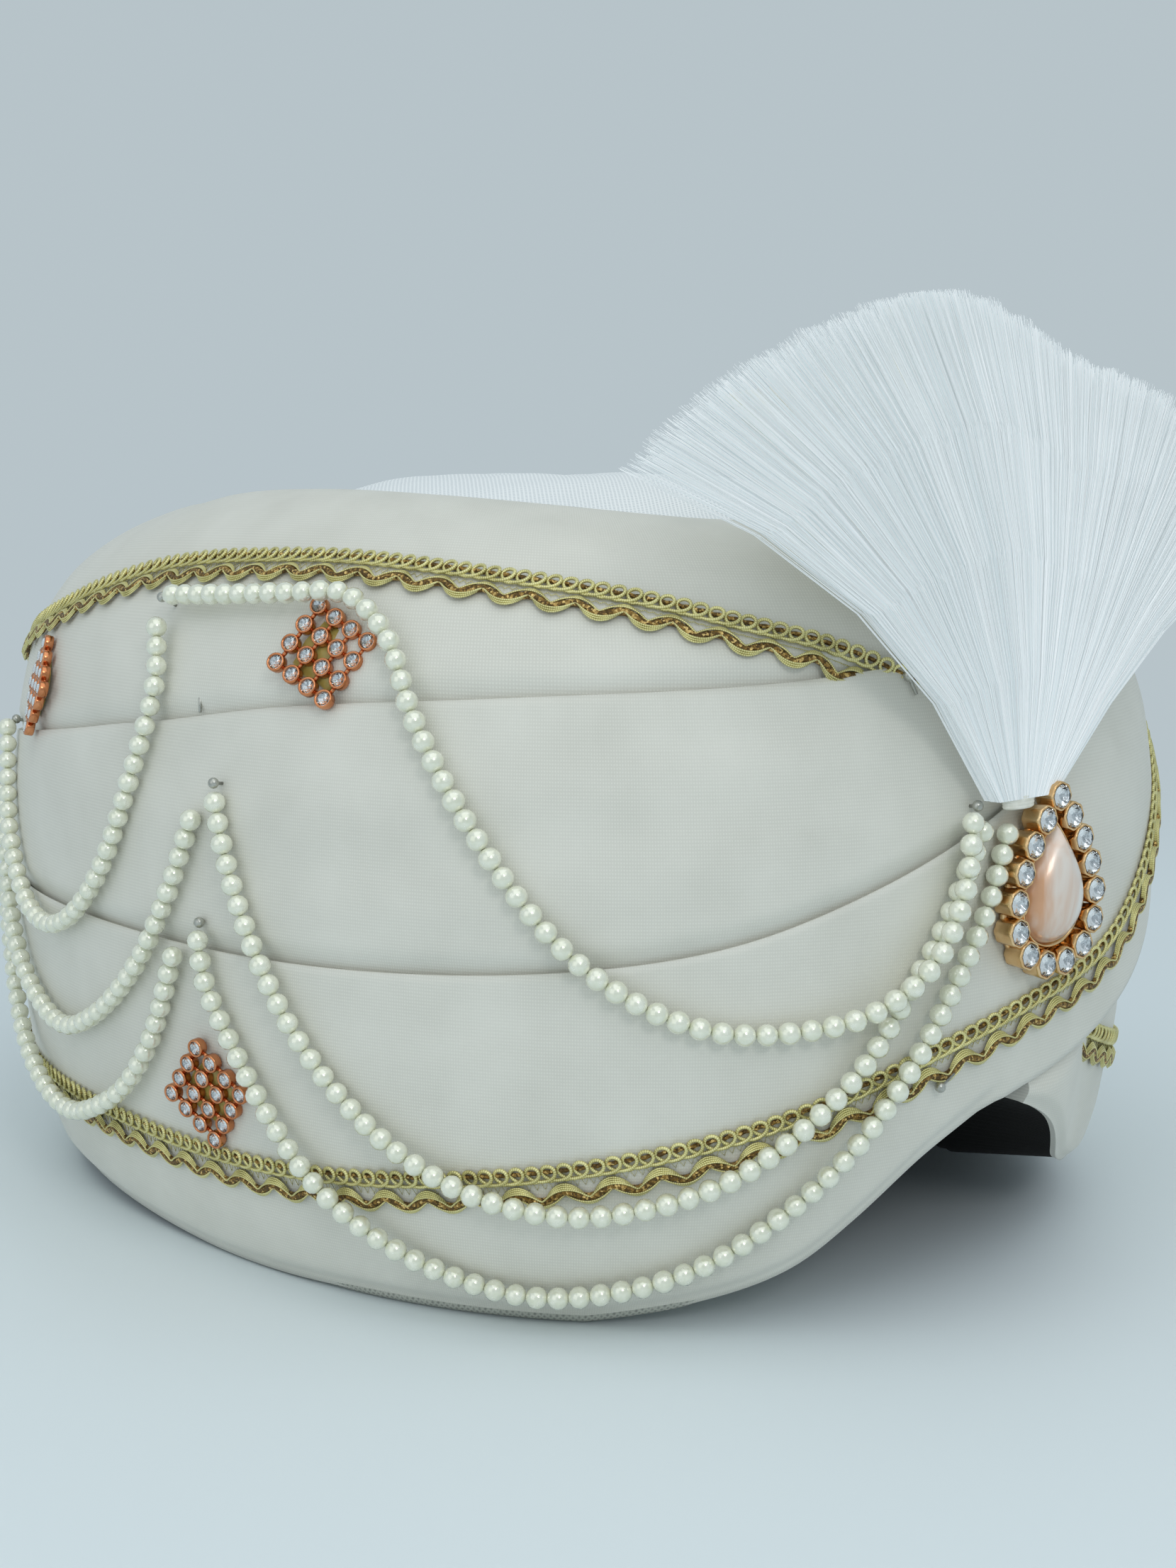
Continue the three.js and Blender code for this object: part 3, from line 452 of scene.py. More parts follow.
def foldPiece(node, name):
    lines = foldLines[node]
    start, end = lines["span"]
    turns = np.linspace(start, end, int(round((end - start) / fold["step"])) + 1)
    t = np.linspace(0, 1, fold["rows"])
    shares = 0.5 * t + 0.25 * (1 - np.cos(np.pi * t))
    foot, top = lines["foot"](turns), np.maximum(lines["top"](turns), lines["foot"](turns) + 0.2)
    column = turns[:, None]
    run = foot[:, None] + (top - foot)[:, None] * shares[None, :]
    lift = foldLift(lines, column, run)
    under = fold["overhang"] * lines["footOver"](turns)
    over = fold["overhang"] * lines["topOver"](turns)
    # behind a free edge the cloth turns back under itself
    footEdge = [(foot - under * reach, lift[:, 0] - drop) for reach, drop in fold["turnedEdge"]]
    topEdge = [(top + over * reach, lift[:, -1] - drop) for reach, drop in fold["turnedEdge"][::-1]]
    runs = np.column_stack([r for r, _ in footEdge] + [run] + [r for r, _ in topEdge])
    lifts = np.column_stack([x for _, x in footEdge] + [lift] + [x for _, x in topEdge])
    outer = onCloth(column, runs, lifts)
    inner = np.stack([onCap(turns, foot + (top - foot) * share, turban["gap"]) for share in (1, 0.66, 0.33, 0)], 1)
    points = np.concatenate([outer, inner], 1)
    columns, rows = points.shape[:2]
    middle = onCloth(turns, (foot + top) / 2)
    arc = np.concatenate([[0], np.cumsum(np.linalg.norm(np.diff(middle, axis=0), axis=1))])
    across = np.column_stack([runs, runs[:, -1:] + np.zeros((1, inner.shape[1]))])
    uv = np.stack([np.broadcast_to(arc[:, None], (columns, rows)), across], -1)
    faces = gridFaces(columns, rows, closeRows=True)
    last = (columns - 1) * rows
    faces += [tuple(range(rows)), tuple(range(last, last + rows))]
    # black where it faces in or down
    backed = {c * rows + r for c in range(columns - 1) for r in range(outer.shape[1] - 1, rows)}
    piece = makeObject(name, points, faces, satin, uv=uv, sharp={*range(rows), *range(last, last + rows)},
                       backing=lining, backed=backed)
    place(piece, "satin", node)
    return piece


foldPiece("crossing_fold", "crossingFold")
foldPiece("lower_fold_left", "leftFold")
foldPiece("middle_fold", "middleFold")
foldPiece("upper_fold", "upperFold")
print("turban: four satin folds wound")

# White buckram, an open stiff weave: thick threads with shaded holes between them.
crownFinish = {"light": "#f6f8f8", "dark": "#c9cfd2", "thread": 0.85}
buckram, tree, shader = startMaterial("cottonBuckram", {"Roughness": 0.85})
clothMap = addNode(tree, "ShaderNodeUVMap", {"uv_map": "cloth"})
turned = addNode(tree, "ShaderNodeMapping", {"Rotation": (0, 0, math.radians(38))}, {"Vector": clothMap})
warp = bandsOf(tree, "X", crownFinish["thread"], turned, Distortion=0.6)
weft = bandsOf(tree, "Y", crownFinish["thread"], turned, Distortion=0.6)
holes = calc(tree, "MAXIMUM", warp, weft)
tintBy(tree, shader, holes, crownFinish["dark"], crownFinish["light"])
bumpBy(tree, shader, holes, 0.4, 0.15)

# Grey scrim, the stiffening cloth of the hem.
scrim = buckram.copy()
scrim.name = "greyScrim"
for node in scrim.node_tree.nodes:
    if node.type == "MIX":
        node.inputs[6].default_value, node.inputs[7].default_value = linear("#84867f"), linear("#b8b9af")

# The lined cap inside, the crown cloth on it and the facing under the hem.
cap = {"columns": 180, "domeRows": 22, "crownShare": 0.8, "crownRise": 2.3, "crownPower": 3.4, "crownRows": 34,
       "wrinkle": 0.55, "wrinkles": 9, "seed": 5, "facingDrop": 0.15, "facingTurns": (14, 96), "facingSteps": 165}


def domePoint(turn, share, inset, rise, power=turban["domePower"]):
    height = turban["capStraight"] + turban["capRise"] * (1 - share**power) ** (1 / power)
    drop = rollDropAt(turn) * easeIn(share, 0.35, 0.75) * (1 - easeIn(share, 0.9, 1))
    return oval(turn, *((half - inset) * share for half in capHalves), height + rise - drop)


ring = np.linspace(-180, 180, cap["columns"], endpoint=False)


def capSkin(inset):
    foot = hemAt(ring) + 1
    walls = [oval(ring, *(half - inset for half in capHalves), foot + (turban["capStraight"] - foot) * up)
             for up in (0, 0.33, 0.66)]
    shares = np.cos(np.linspace(0, np.pi / 2, cap["domeRows"])).clip(0, 1)
    return walls + [domePoint(ring, max(share, 0.0), inset, -inset) for share in shares]


skin = np.stack(capSkin(0) + capSkin(turban["lining"])[::-1], 1)
columns, rows = skin.shape[:2]
uv = np.stack(np.broadcast_arrays((ring * 1.6)[:, None], np.arange(rows)[None, :] * 9.0), -1)
innerCap = makeObject("innerCap", skin, gridFaces(columns, rows, closeColumns=True, closeRows=True), lining, uv=uv)
place(innerCap, "lining", "inner_cap")

crownShares = np.linspace(cap["crownShare"], 0, cap["crownRows"])
wrinkled = np.random.default_rng(cap["seed"])
crownPoints = domePoint(ring[:, None], crownShares[None, :], 0, cap["crownRise"], cap["crownPower"])
for _ in range(cap["wrinkles"]):
    direction, wave, phase = wrinkled.uniform(0, 3.14), wrinkled.uniform(0.05, 0.2), wrinkled.uniform(0, 6.28)
    flow = np.sin((crownPoints[..., 0] * math.cos(direction) + crownPoints[..., 1] * math.sin(direction)) * wave
                  + phase)
    crownPoints[..., 2] += cap["wrinkle"] * (np.abs(flow) - 0.5) * 0.35
crown = makeObject("crownCloth", crownPoints, gridFaces(*crownPoints.shape[:2], closeColumns=True), buckram,
                   uv=crownPoints[..., :2])
place(crown, "crown_cloth", "crown_cover")

facingTurns = np.linspace(*cap["facingTurns"], cap["facingSteps"])
facingFoot = hemAt(facingTurns)
shown = facingShows(facingTurns)
facing = np.stack([onCloth(facingTurns, facingFoot + hemLift(facingTurns) + 1.2, -3.2 + 1.6 * shown),
                   onCloth(facingTurns, facingFoot + 0.6 + 0.8 * shown, -2.8 + 2.2 * shown),
                   onCloth(facingTurns, facingFoot + cap["facingDrop"], -3.2 + 2.2 * shown),
                   onCap(facingTurns, facingFoot, 0.6) + (0, 0, cap["facingDrop"])], 1)
strip = np.concatenate([[0], np.cumsum(np.linalg.norm(np.diff(facing[:, 1], axis=0), axis=1))])
uv = np.stack(np.broadcast_arrays(strip[:, None], np.array([0, 1.5, 2.5, 27.0])[None, :]), -1)
hemFacing = makeObject("hemFacing", facing, gridFaces(*facing.shape[:2]), scrim, uv=uv)
place(hemFacing, "lining")
print("turban: facing", round(strip[-1]), "mm long")
print("turban: cap, crown and facing in")

# Gilt thread, a flat metal strip wound round a cotton core: painted highlights as fine bright bars on the turns.
giltWire, tree, shader = startMaterial("giltThread", {"Metallic": 0.6, "Roughness": 0.4})
runOf = addNode(tree, "ShaderNodeAttribute", {"attribute_name": "threadRun"})
turns = bandsOf(tree, "X", 0.4, runOf.outputs["Vector"])
patch = noiseOf(tree, {"Scale": 260.0, "Detail": 2.0})
paintedGlintsAndPatches = calc(tree, "MULTIPLY_ADD", turns, 0.5, patch)
# painted highlight on the turns and painted shade between them, over random patches of tone
tintBy(tree, shader, paintedGlintsAndPatches, "#8c7f36", "#f2eaaa")
bumpBy(tree, shader, turns, 0.5, 0.08)

# Glitter chenille, brown pile with cut metal film: dark between bright specks.
chenille, tree, shader = startMaterial("glitterChenille", {"Metallic": 0.55, "Roughness": 0.45})
place3d = addNode(tree, "ShaderNodeTexCoord")
flakes = addNode(tree, "ShaderNodeTexVoronoi", {"Scale": 1 / (0.45 * mm)}, {"Vector": place3d.outputs["Object"]})
flakeSide = addNode(tree, "ShaderNodeSeparateColor", links={0: flakes.outputs["Color"]})
ramp = addNode(tree, "ShaderNodeValToRGB", links={0: flakeSide})
ramp.color_ramp.elements[0].color, ramp.color_ramp.elements[0].position = linear("#5d4622"), 0.3
ramp.color_ramp.elements[1].color, ramp.color_ramp.elements[1].position = linear("#e6c47c"), 0.95
ramp.color_ramp.elements.new(0.72).color = linear("#9a7638")
bumpBy(tree, shader, flakes.outputs["Distance"], 0.9, 0.25)
tree.links.new(ramp.outputs[0], shader.inputs["Base Color"])

# One thread of the braid: it swings across the trail and along it once in each pitch.
laidThread, given = startTree("laidThread", {
    "Float": ("Pitch", "Swing", "Reach", "Middle", "Rise", "Weave", "Steps", "Thread"),
    "Int": ("Sides",), "Material": ("Material",)})
tree = laidThread
stepLength = calc(tree, "DIVIDE", given["Pitch"], given["Steps"])
trail = addNode(tree, "GeometryNodeResampleCurve", {"mode": "LENGTH"},
                {"Curve": given["Geometry"], "Length": stepLength})
along = addNode(tree, "GeometryNodeSplineParameter")
cycles = calc(tree, "DIVIDE", along.outputs["Length"], given["Pitch"])
phase = calc(tree, "MULTIPLY", cycles, 2 * math.pi)
cosine = calc(tree, "COSINE", phase)
sine = calc(tree, "SINE", phase)
swung = calc(tree, "MULTIPLY", cosine, given["Swing"])
across = calc(tree, "SUBTRACT", given["Middle"], swung)
forward = calc(tree, "MULTIPLY", sine, given["Reach"])
lifted = calc(tree, "MULTIPLY_ADD", sine, given["Weave"], given["Rise"])
side = named(tree, "side")
out = named(tree, "out")
ahead = addNode(tree, "GeometryNodeInputTangent")
toSide, toFront, toOut = (addNode(tree, "ShaderNodeVectorMath", {"operation": "SCALE"}, {0: way, "Scale": size})
                          for way, size in ((side, across), (ahead, forward), (out, lifted)))
flat = addNode(tree, "ShaderNodeVectorMath", {"operation": "ADD"}, {0: toSide, 1: toFront})
offset = addNode(tree, "ShaderNodeVectorMath", {"operation": "ADD"}, {0: flat, 1: toOut})
laid = addNode(tree, "GeometryNodeSetPosition", links={"Geometry": trail, "Offset": offset})
wireRun = addNode(tree, "GeometryNodeSplineParameter")
wireVector = addNode(tree, "ShaderNodeCombineXYZ", links={0: wireRun.outputs["Length"]})
marked = storeOn(tree, laid, "FLOAT_VECTOR", "threadRun", wireVector)
section = addNode(tree, "GeometryNodeCurvePrimitiveCircle",
                  links={"Resolution": given["Sides"], "Radius": given["Thread"]})
tube = addNode(tree, "GeometryNodeCurveToMesh", {"Fill Caps": True}, {"Curve": marked, "Profile Curve": section})
soft = addNode(tree, "GeometryNodeSetShadeSmooth", links={0: tube})
endTree(tree, soft, given["Material"])

# The braid: a row of wire loops, fine links under it, and a waved chenille cord between bundles of thread.
braid = {
    "loops": {"Pitch": 3.0, "Swing": 1.5, "Reach": 1.95, "Middle": 2.6, "Rise": 0.75, "Weave": 0.3,
              "Steps": 16.0, "Thread": 0.37, "Sides": 5},
    "core": {"Pitch": 2.9, "Swing": 0.15, "Middle": 2.85, "Rise": 0.4, "Steps": 3.0, "Thread": 0.42, "Sides": 5},
    "rail": {"Pitch": 2.9, "Swing": 0.14, "Middle": 1.1, "Rise": 0.65, "Steps": 4.0, "Thread": 0.3, "Sides": 5},
    "links": {"Pitch": 1.5, "Swing": 1.3, "Middle": 0.1, "Rise": 0.3, "Steps": 2.0, "Thread": 0.1, "Sides": 3},
    "cord": {"Pitch": 8.8, "Swing": 0.75, "Middle": -2.1, "Rise": 0.95, "Steps": 18.0, "Thread": 0.75, "Sides": 7},
    "diveDepth": 2.2,
    "bundle": {"Pitch": 8.8, "Steps": 15.0, "Thread": 0.21, "Sides": 4},
    # strands laid along the cord's crests, then along its troughs: middle, reach, and swings with their rises
    "bundles": [(-1.6, -0.8, [(0.95, 1.5), (1.25, 1.3), (1.55, 1.05), (1.85, 0.8)]),
                (-2.6, 0.8, [(0.95, 1.4), (1.25, 1.15), (1.55, 0.9)])],
    # middle lines: turn, run
    "lower": [(180, 25), (98, 24.5), (74, 24.3), (59, 27.3), (43, 32.6), (27, 40.5), (13, 50.1), (1, 57.2),
              (-10, 64.8), (-19, 76), (-32, 93), (-50, 116), (-60, 124.5), (-75, 128.5), (-90, 126), (-110, 120),
              (-140, 112), (-180, 109)],
    "upper": [(10, 116), (14, 119.8), (20, 124.6), (29, 129.6), (36, 133.3), (46, 136.6), (60, 139.4), (70, 140.4),
              (79, 140), (89, 138.6), (100, 133.5), (110, 127.5), (130, 118), (150, 112), (180, 109)],
    "left": [(-2, 50.5), (-10, 45), (-17, 40), (-23, 36.5), (-33, 32.3), (-55, 26), (-70, 24.3), (-180, 25)],
}
goldBraid, given = startTree("goldBraid", {"Material": ("Wire", "Pile")})
tree = goldBraid
trail = addNode(tree, "GeometryNodeMeshToCurve", links={0: given["Geometry"]})
together = addNode(tree, "GeometryNodeJoinGeometry")
threads = [(braid[kind], "Pile" if kind in ("core", "cord") else "Wire")
           for kind in ("loops", "core", "rail", "links", "cord")]
for middle, reach, strands in braid["bundles"]:
    for swing, rise in strands:
        threads.append(({**braid["bundle"], "Middle": middle, "Reach": reach, "Swing": swing, "Rise": rise}, "Wire"))
for sizes, finish in threads:
    thread = addNode(tree, "GeometryNodeGroup", {"node_tree": laidThread})
    for label, value in sizes.items():
        thread.inputs[label].default_value = value if label in ("Steps", "Sides") else value * mm
    tree.links.new(trail.outputs[0], thread.inputs["Geometry"])
    tree.links.new(given[finish], thread.inputs["Material"])
    tree.links.new(thread.outputs[0], together.inputs[0])
whole = addNode(tree, "GeometryNodeRealizeInstances", links={0: together})
addNode(tree, "NodeGroupOutput", links={0: whole})


def braidPiece(name, node, carrier, line, start, end, dive=None, tip=0.0):
    lines, middle = foldLines[carrier], smoothRows(line)
    turns = np.linspace(start, end, int(abs(end - start) * 2.4))
    run = middle(turns)
    lift = np.maximum(foldLift(lines, turns, run), 0.5 - (lines["inset"](turns) if "inset" in lines else 0))
    # the end goes in under the next fold
    under = 0 * turns if dive is None else 1 - easeIn(np.abs(turns - dive[0]), 0, dive[1])
    points = onCloth(turns, run, lift - braid["diveDepth"] * under)
    out = outOf(turns, run)
    ahead = unit(np.gradient(points, axis=0))
    side = unit(np.cross(out, ahead))
    side *= np.sign(side[:, 2:3])
    side = unit(side + tip * under[:, None] * out)
    trail = makeTrail(name + "Trail", points, {"side": side, "out": out})
    piece = growMesh(name, trail, goldBraid, {"Wire": giltWire, "Pile": chenille})
    bpy.data.objects.remove(trail)
    return place(piece, "braid", node)


braidPiece("lowerBraid", "lower_braid", "crossing_fold", braid["lower"], 180, -180)
braidPiece("upperBraid", "upper_braid", "upper_fold", braid["upper"], 180, 12.5, (12.5, 11), 0.75)
braidPiece("leftBraid", "left_braid", "lower_fold_left", braid["left"], -8, -180, (-8, 6))
print("turban: three braids laid")

# Acrylic pearl under a crinkled lacquer: ivory and a little metallic, with small bright creases.
pearlFinish = {"light": "#fcfbee", "dark": "#dcdfc2", "fleck": 0.7}
pearl, tree, shader = startMaterial("lacqueredAcrylic", {"Roughness": 0.22, "Metallic": 0.3, "Coat Weight": 1.0,
                                                         "Coat Roughness": 0.05, "Coat IOR": 1.9})
place3d = addNode(tree, "ShaderNodeTexCoord")
fleck = addNode(tree, "ShaderNodeTexVoronoi", {"Scale": 1 / (pearlFinish["fleck"] * mm), "feature": "DISTANCE_TO_EDGE"},
                {"Vector": place3d.outputs["Object"]})
cloud = noiseOf(tree, {"Scale": 1 / (1.3 * mm), "Detail": 2.0})
tintBy(tree, shader, cloud, pearlFinish["dark"], pearlFinish["light"])
gloss = addNode(tree, "ShaderNodeMapRange", {"To Min": 0.12, "To Max": 0.36}, {"Value": cloud})
bumpBy(tree, shader, fleck.outputs["Distance"], 0.3, 0.1)
tree.links.new(gloss.outputs[0], shader.inputs["Roughness"])

# Cotton thread, bleached and twisted.
cotton, tree, shader = startMaterial("cottonThread", {"Roughness": 0.8})
twist = noiseOf(tree, {"Scale": 900.0})
tintBy(tree, shader, twist, "#d8d5c6", "#f6f4ea")

# Strings of pearls on a thread. Each row is a turn, a run and, where it isn't the usual lift, how far the middle of the
# string stands off the form.
strings = {
    "pearl": 4.0, "thread": 0.14, "seed": 3, "lift": 3.5,
    "pearl_string_1": [(86.8, 132.2, 5.2), (80, 132.8, 5.2), (73, 133.4, 5.4), (67, 133.6, 5.4), (62.4, 127.5, 4.6),
                       (59.2, 114, 3.6), (54, 96), (47, 77), (41, 67), (34, 61), (27, 60), (20, 63, 5.6), (15, 71, 7.8),
                       (12, 83, 7.8), (10.4, 95, 6.5)],
    "pearl_string_2": [(78, 96.4), (77, 88.5), (74.6, 74), (70.5, 57), (65.5, 44), (60, 35.5, 4.8), (53.5, 29.5, 5.4),
                       (46, 27, 5.4), (39, 29, 5.4), (32, 34, 5.4), (26, 42.5, 5.4), (20.5, 53, 4.8), (16.4, 64),
                       (12.6, 76), (8.2, 93)],
    "pearl_string_3": [(79.8, 69.8), (79.2, 62), (76.5, 50.5), (73.2, 39, 4), (69, 28.5, 5.4), (64.5, 20.5, 5.2),
                       (58, 13, 3.6), (49, 9.3), (40, 11.8), (33, 17), (26.5, 26, 3.6), (21.4, 37, 5.2),
                       (16.6, 50, 5.4), (12, 64, 4.2), (8, 78), (5.4, 92)],
    "pearl_string_1_back": [(87.6, 126.5, 4.6), (86.6, 117), (88, 99), (91, 80), (95.4, 68.5), (100.5, 64), (106, 66.5),
                            (112, 79), (117.6, 101)],
    "pearl_string_2_back": [(80.6, 92.5), (83.4, 77), (87, 63), (92, 50), (98.6, 43.2), (105, 46), (112, 56),
                            (122.6, 85)],
    "pearl_string_3_back": [(82.8, 65.5), (86, 48), (89.6, 36, 4.4), (94, 28.5, 5.4), (99.4, 25, 5.4), (105, 27.5, 5.4),
                            (112, 36, 4.4), (124.6, 63)],
}
pearlString, given = startTree("pearlString", {"Float": ("Pearl", "Thread"), "Int": ("Seed",),
                                               "Material": ("Lacquer", "Cotton")})
tree = pearlString
trail = addNode(tree, "GeometryNodeMeshToCurve", links={0: given["Geometry"]})
spots = addNode(tree, "GeometryNodeResampleCurve", {"mode": "LENGTH"}, {"Curve": trail, "Length": given["Pearl"]})
half = calc(tree, "MULTIPLY", given["Pearl"], 0.5)
bead = addNode(tree, "GeometryNodeMeshUVSphere", {"Segments": 12, "Rings": 8}, {"Radius": half})
rolled = addNode(tree, "FunctionNodeRandomValue", {"data_type": "FLOAT_VECTOR", 0: (0, 0, 0), 1: (6.28, 6.28, 6.28)},
                 {"Seed": given["Seed"]})
sized = randomOf(tree, 1.03, 1.07, {"Seed": given["Seed"]})
beads = addNode(tree, "GeometryNodeInstanceOnPoints",
                links={"Points": spots, "Instance": bead, "Rotation": rolled, "Scale": sized})
beadMesh = addNode(tree, "GeometryNodeRealizeInstances", links={0: beads})
soft = addNode(tree, "GeometryNodeSetShadeSmooth", links={0: beadMesh})
lacquered = addNode(tree, "GeometryNodeSetMaterial", links={"Geometry": soft, "Material": given["Lacquer"]})
section = addNode(tree, "GeometryNodeCurvePrimitiveCircle", {"Resolution": 4}, {"Radius": given["Thread"]})
tube = addNode(tree, "GeometryNodeCurveToMesh", {"Fill Caps": True}, {"Curve": trail, "Profile Curve": section})
spun = addNode(tree, "GeometryNodeSetMaterial", links={"Geometry": tube, "Material": given["Cotton"]})
together = addNode(tree, "GeometryNodeJoinGeometry")
tree.links.new(lacquered.outputs[0], together.inputs[0])
tree.links.new(spun.outputs[0], together.inputs[0])
addNode(tree, "NodeGroupOutput", links={0: together})


# A smooth swag through its rows, spaced by the root of the distance.
def swag(rows, steps=16):
    knots = np.stack([onCloth(turn, run, *(lift or [strings["lift"]])) for turn, run, *lift in rows])
    knots = np.concatenate([[2 * knots[0] - knots[1]], knots, [2 * knots[-1] - knots[-2]]])
    line = []
    for a, b, c, d in zip(knots[:-3], knots[1:-2], knots[2:-1], knots[3:]):
        ab, bc, cd = (np.linalg.norm(q - p) ** 0.5 for p, q in ((a, b), (b, c), (c, d)))
        start = ((b - a) / ab - (c - a) / (ab + bc) + (c - b) / bc) * bc
        end = ((c - b) / bc - (d - b) / (bc + cd) + (d - c) / cd) * bc
        for s in np.linspace(0, 1, steps, endpoint=False):
            line.append((2 * s**3 - 3 * s**2 + 1) * b + (s**3 - 2 * s**2 + s) * start + (3 * s**2 - 2 * s**3) * c
                        + (s**3 - s**2) * end)
    return np.array(line + [knots[-2]])


for number, (node, rows) in enumerate((key, value) for key, value in strings.items() if key.startswith("pearl_")):
    trail = makeTrail("swagTrail", swag(rows))
    words = node.split("_")
    piece = growMesh(words[0] + "".join(word.capitalize() for word in words[1:]), trail, pearlString,
                     {"Pearl": strings["pearl"] * mm, "Thread": strings["thread"] * mm,
                      "Seed": strings["seed"] + number, "Lacquer": pearl, "Cotton": cotton})
    bpy.data.objects.remove(trail)
    place(piece, "pearl", node)
print("turban: pearls strung")

# Nickel-plated steel, drawn and headed: smooth and grey, with faint draw marks.
steel, tree, shader = startMaterial("nickelSteel", {"Metallic": 0.8})
marks = noiseOf(tree, {"Scale": 1400.0})
dull = addNode(tree, "ShaderNodeMapRange", {"To Min": 0.18, "To Max": 0.42}, {"Value": marks})
tintBy(tree, shader, marks, "#94948c", "#d2d2ca")
tree.links.new(dull.outputs[0], shader.inputs["Roughness"])

# Plated brass, stamped: two tones of plating with soft wear. Rose gold on the ornaments, pinkish yellow on the brooch.
platings = {}
for name, dark, light in (("roseGoldBrass", "#b96a3c", "#e8a478"), ("yellowGoldBrass", "#cf9a58", "#fbe0b4")):
    platings[name], tree, shader = startMaterial(name, {"Metallic": 1.0})
    wear = noiseOf(tree, {"Scale": 350.0, "Detail": 1.0})
    tintBy(tree, shader, wear, dark, light)
    dull = addNode(tree, "ShaderNodeMapRange", {"To Min": 0.12, "To Max": 0.3}, {"Value": wear})
    tree.links.new(dull.outputs[0], shader.inputs["Roughness"])

# Cut lead glass, clear, over silver foil: bright facets with dark ones between, partly painted reflection on the foil.
glass, tree, shader = startMaterial("cutGlass", {"Roughness": 0.02, "IOR": 1.56, "Transmission Weight": 1.0})
haze = noiseOf(tree, {"Scale": 300.0})
tintBy(tree, shader, haze, "#f2f5f7", "#ffffff")
foil, tree, shader = startMaterial("silverFoil", {"Metallic": 1.0, "Roughness": 0.16})
place3d = addNode(tree, "ShaderNodeTexCoord")
# painted reflection: the foil's crinkle goes into its colour as light and dark patches
paintedCrinkleReflection = addNode(tree, "ShaderNodeTexVoronoi", {"Scale": 1 / (0.5 * mm)}, {"Vector": place3d.outputs["Object"]})
tintBy(tree, shader, paintedCrinkleReflection.outputs["Distance"], "#8d8f92", "#f4f6f8")

# Hot-melt glue, yellowed and half clear.
glue, tree, shader = startMaterial("hotMeltGlue", {"Roughness": 0.35, "Subsurface Weight": 0.3,
                                                   "Subsurface Scale": 1 * mm})
blobs = noiseOf(tree, {"Scale": 400.0})
tintBy(tree, shader, blobs, "#8f7f2c", "#cdbf72")

# Sets a shape on each point, its height along "out" and its top towards "up".
setOn, given = startTree("setOn", {"Object": ("Shape",), "Material": ("Material",)})
tree = setOn
out = named(tree, "out")
up = named(tree, "up")
upright = addNode(tree, "FunctionNodeAlignRotationToVector", {"axis": "Z"}, {"Vector": out})
facing = addNode(tree, "FunctionNodeAlignRotationToVector", {"axis": "Y", "pivot_axis": "Z"},
                 {"Rotation": upright, "Vector": up})
shape = addNode(tree, "GeometryNodeObjectInfo", links={"Object": given["Shape"]})
spots = addNode(tree, "GeometryNodeMeshToPoints", links={0: given["Geometry"]})
shapes = addNode(tree, "GeometryNodeInstanceOnPoints",
                 links={"Points": spots, "Instance": shape.outputs["Geometry"], "Rotation": facing})
whole = addNode(tree, "GeometryNodeRealizeInstances", links={0: shapes})
endTree(tree, whole, given["Material"])


# A turned shape about +Z in millimetres, fluted if asked; it is only a pattern for the tree.
def turnedShape(name, profile, sides, smooth=True, flutes=0, depth=0.0):
    angles = np.arange(sides) * 2 * np.pi / sides
    lobes = 1 + depth * np.cos(flutes * angles)
    fluted = 0.6 * max(r for r, _ in profile)  # only the outer part has flutes
    points = []
    for angle, lobe in zip(angles, lobes):
        for r, z in profile:
            out = r * (lobe if r > fluted else 1)
            points.append((out * math.cos(angle), out * math.sin(angle), z))
    return makePattern(name, points, gridFaces(sides, len(profile), closeColumns=True), smooth)


def makePattern(name, points, faces, smooth=True):
    mesh = bpy.data.meshes.new(name)
    mesh.from_pydata((np.asarray(points, float) * mm).tolist(), [], faces)
    work = bmesh.new()
    work.from_mesh(mesh)
    bmesh.ops.remove_doubles(work, verts=work.verts, dist=1e-7)
    bmesh.ops.recalc_face_normals(work, faces=work.faces)
    for face in work.faces:
        face.smooth = smooth
    work.to_mesh(mesh)
    work.free()
    return addObject(name, mesh)


def setShapes(name, pattern, points, outs, ups, material):
    spots = makeTrail(name + "Spots", points, {"out": outs, "up": ups}, edges=False)
    piece = growMesh(name, spots, setOn, {"Shape": pattern, "Material": material})
    bpy.data.objects.remove(spots)
    bpy.data.objects.remove(pattern)
    return piece


# A brilliant: table, crown, girdle and pavilion, with flat facets.
def cutStone(name, radius, crownHeight, pavilion):
    rings = [(0.56 * radius, crownHeight, 8, 0.5), (0.84 * radius, 0.52 * crownHeight, 8, 0.0),
             (radius, 0.06 * radius, 16, 0.0), (radius, -0.02 * radius, 16, 0.0)]
    points, faces, first = [], [], []
    for r, z, count, shift in rings:
        first.append(len(points))
        angles = [2 * math.pi * (i + shift) / count for i in range(count)]
        points += [(r * math.cos(angle), r * math.sin(angle), z) for angle in angles]
    t, k, g, h = first
    faces.append(tuple(range(t, t + 8)))
    for i in range(8):
        j = (i + 1) % 8
        faces += [(t + i, k + i, k + j), (t + i, t + j, k + j), (k + i, g + 2 * i, g + 2 * i + 1),
                  (k + i, k + j, g + 2 * i + 1), (k + j, g + 2 * i + 1, g + (2 * i + 2) % 16)]
    faces += [(g + i, g + (i + 1) % 16, h + (i + 1) % 16, h + i) for i in range(16)]
    points.append((0, 0, -pavilion))
    faces += [(h + 2 * i, h + (2 * i + 2) % 16, len(points) - 1) for i in range(8)]
    faces += [(h + 2 * i, h + 2 * i + 1, h + (2 * i + 2) % 16) for i in range(8)]
    return makePattern(name, points, faces, smooth=False)


def nodePoints(node):
    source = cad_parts[node]
    co = np.zeros(len(source.data.vertices) * 3, np.float32)
    source.data.vertices.foreach_get("co", co)
    return (co.reshape(-1, 3).astype(float) - axisAt) / mm


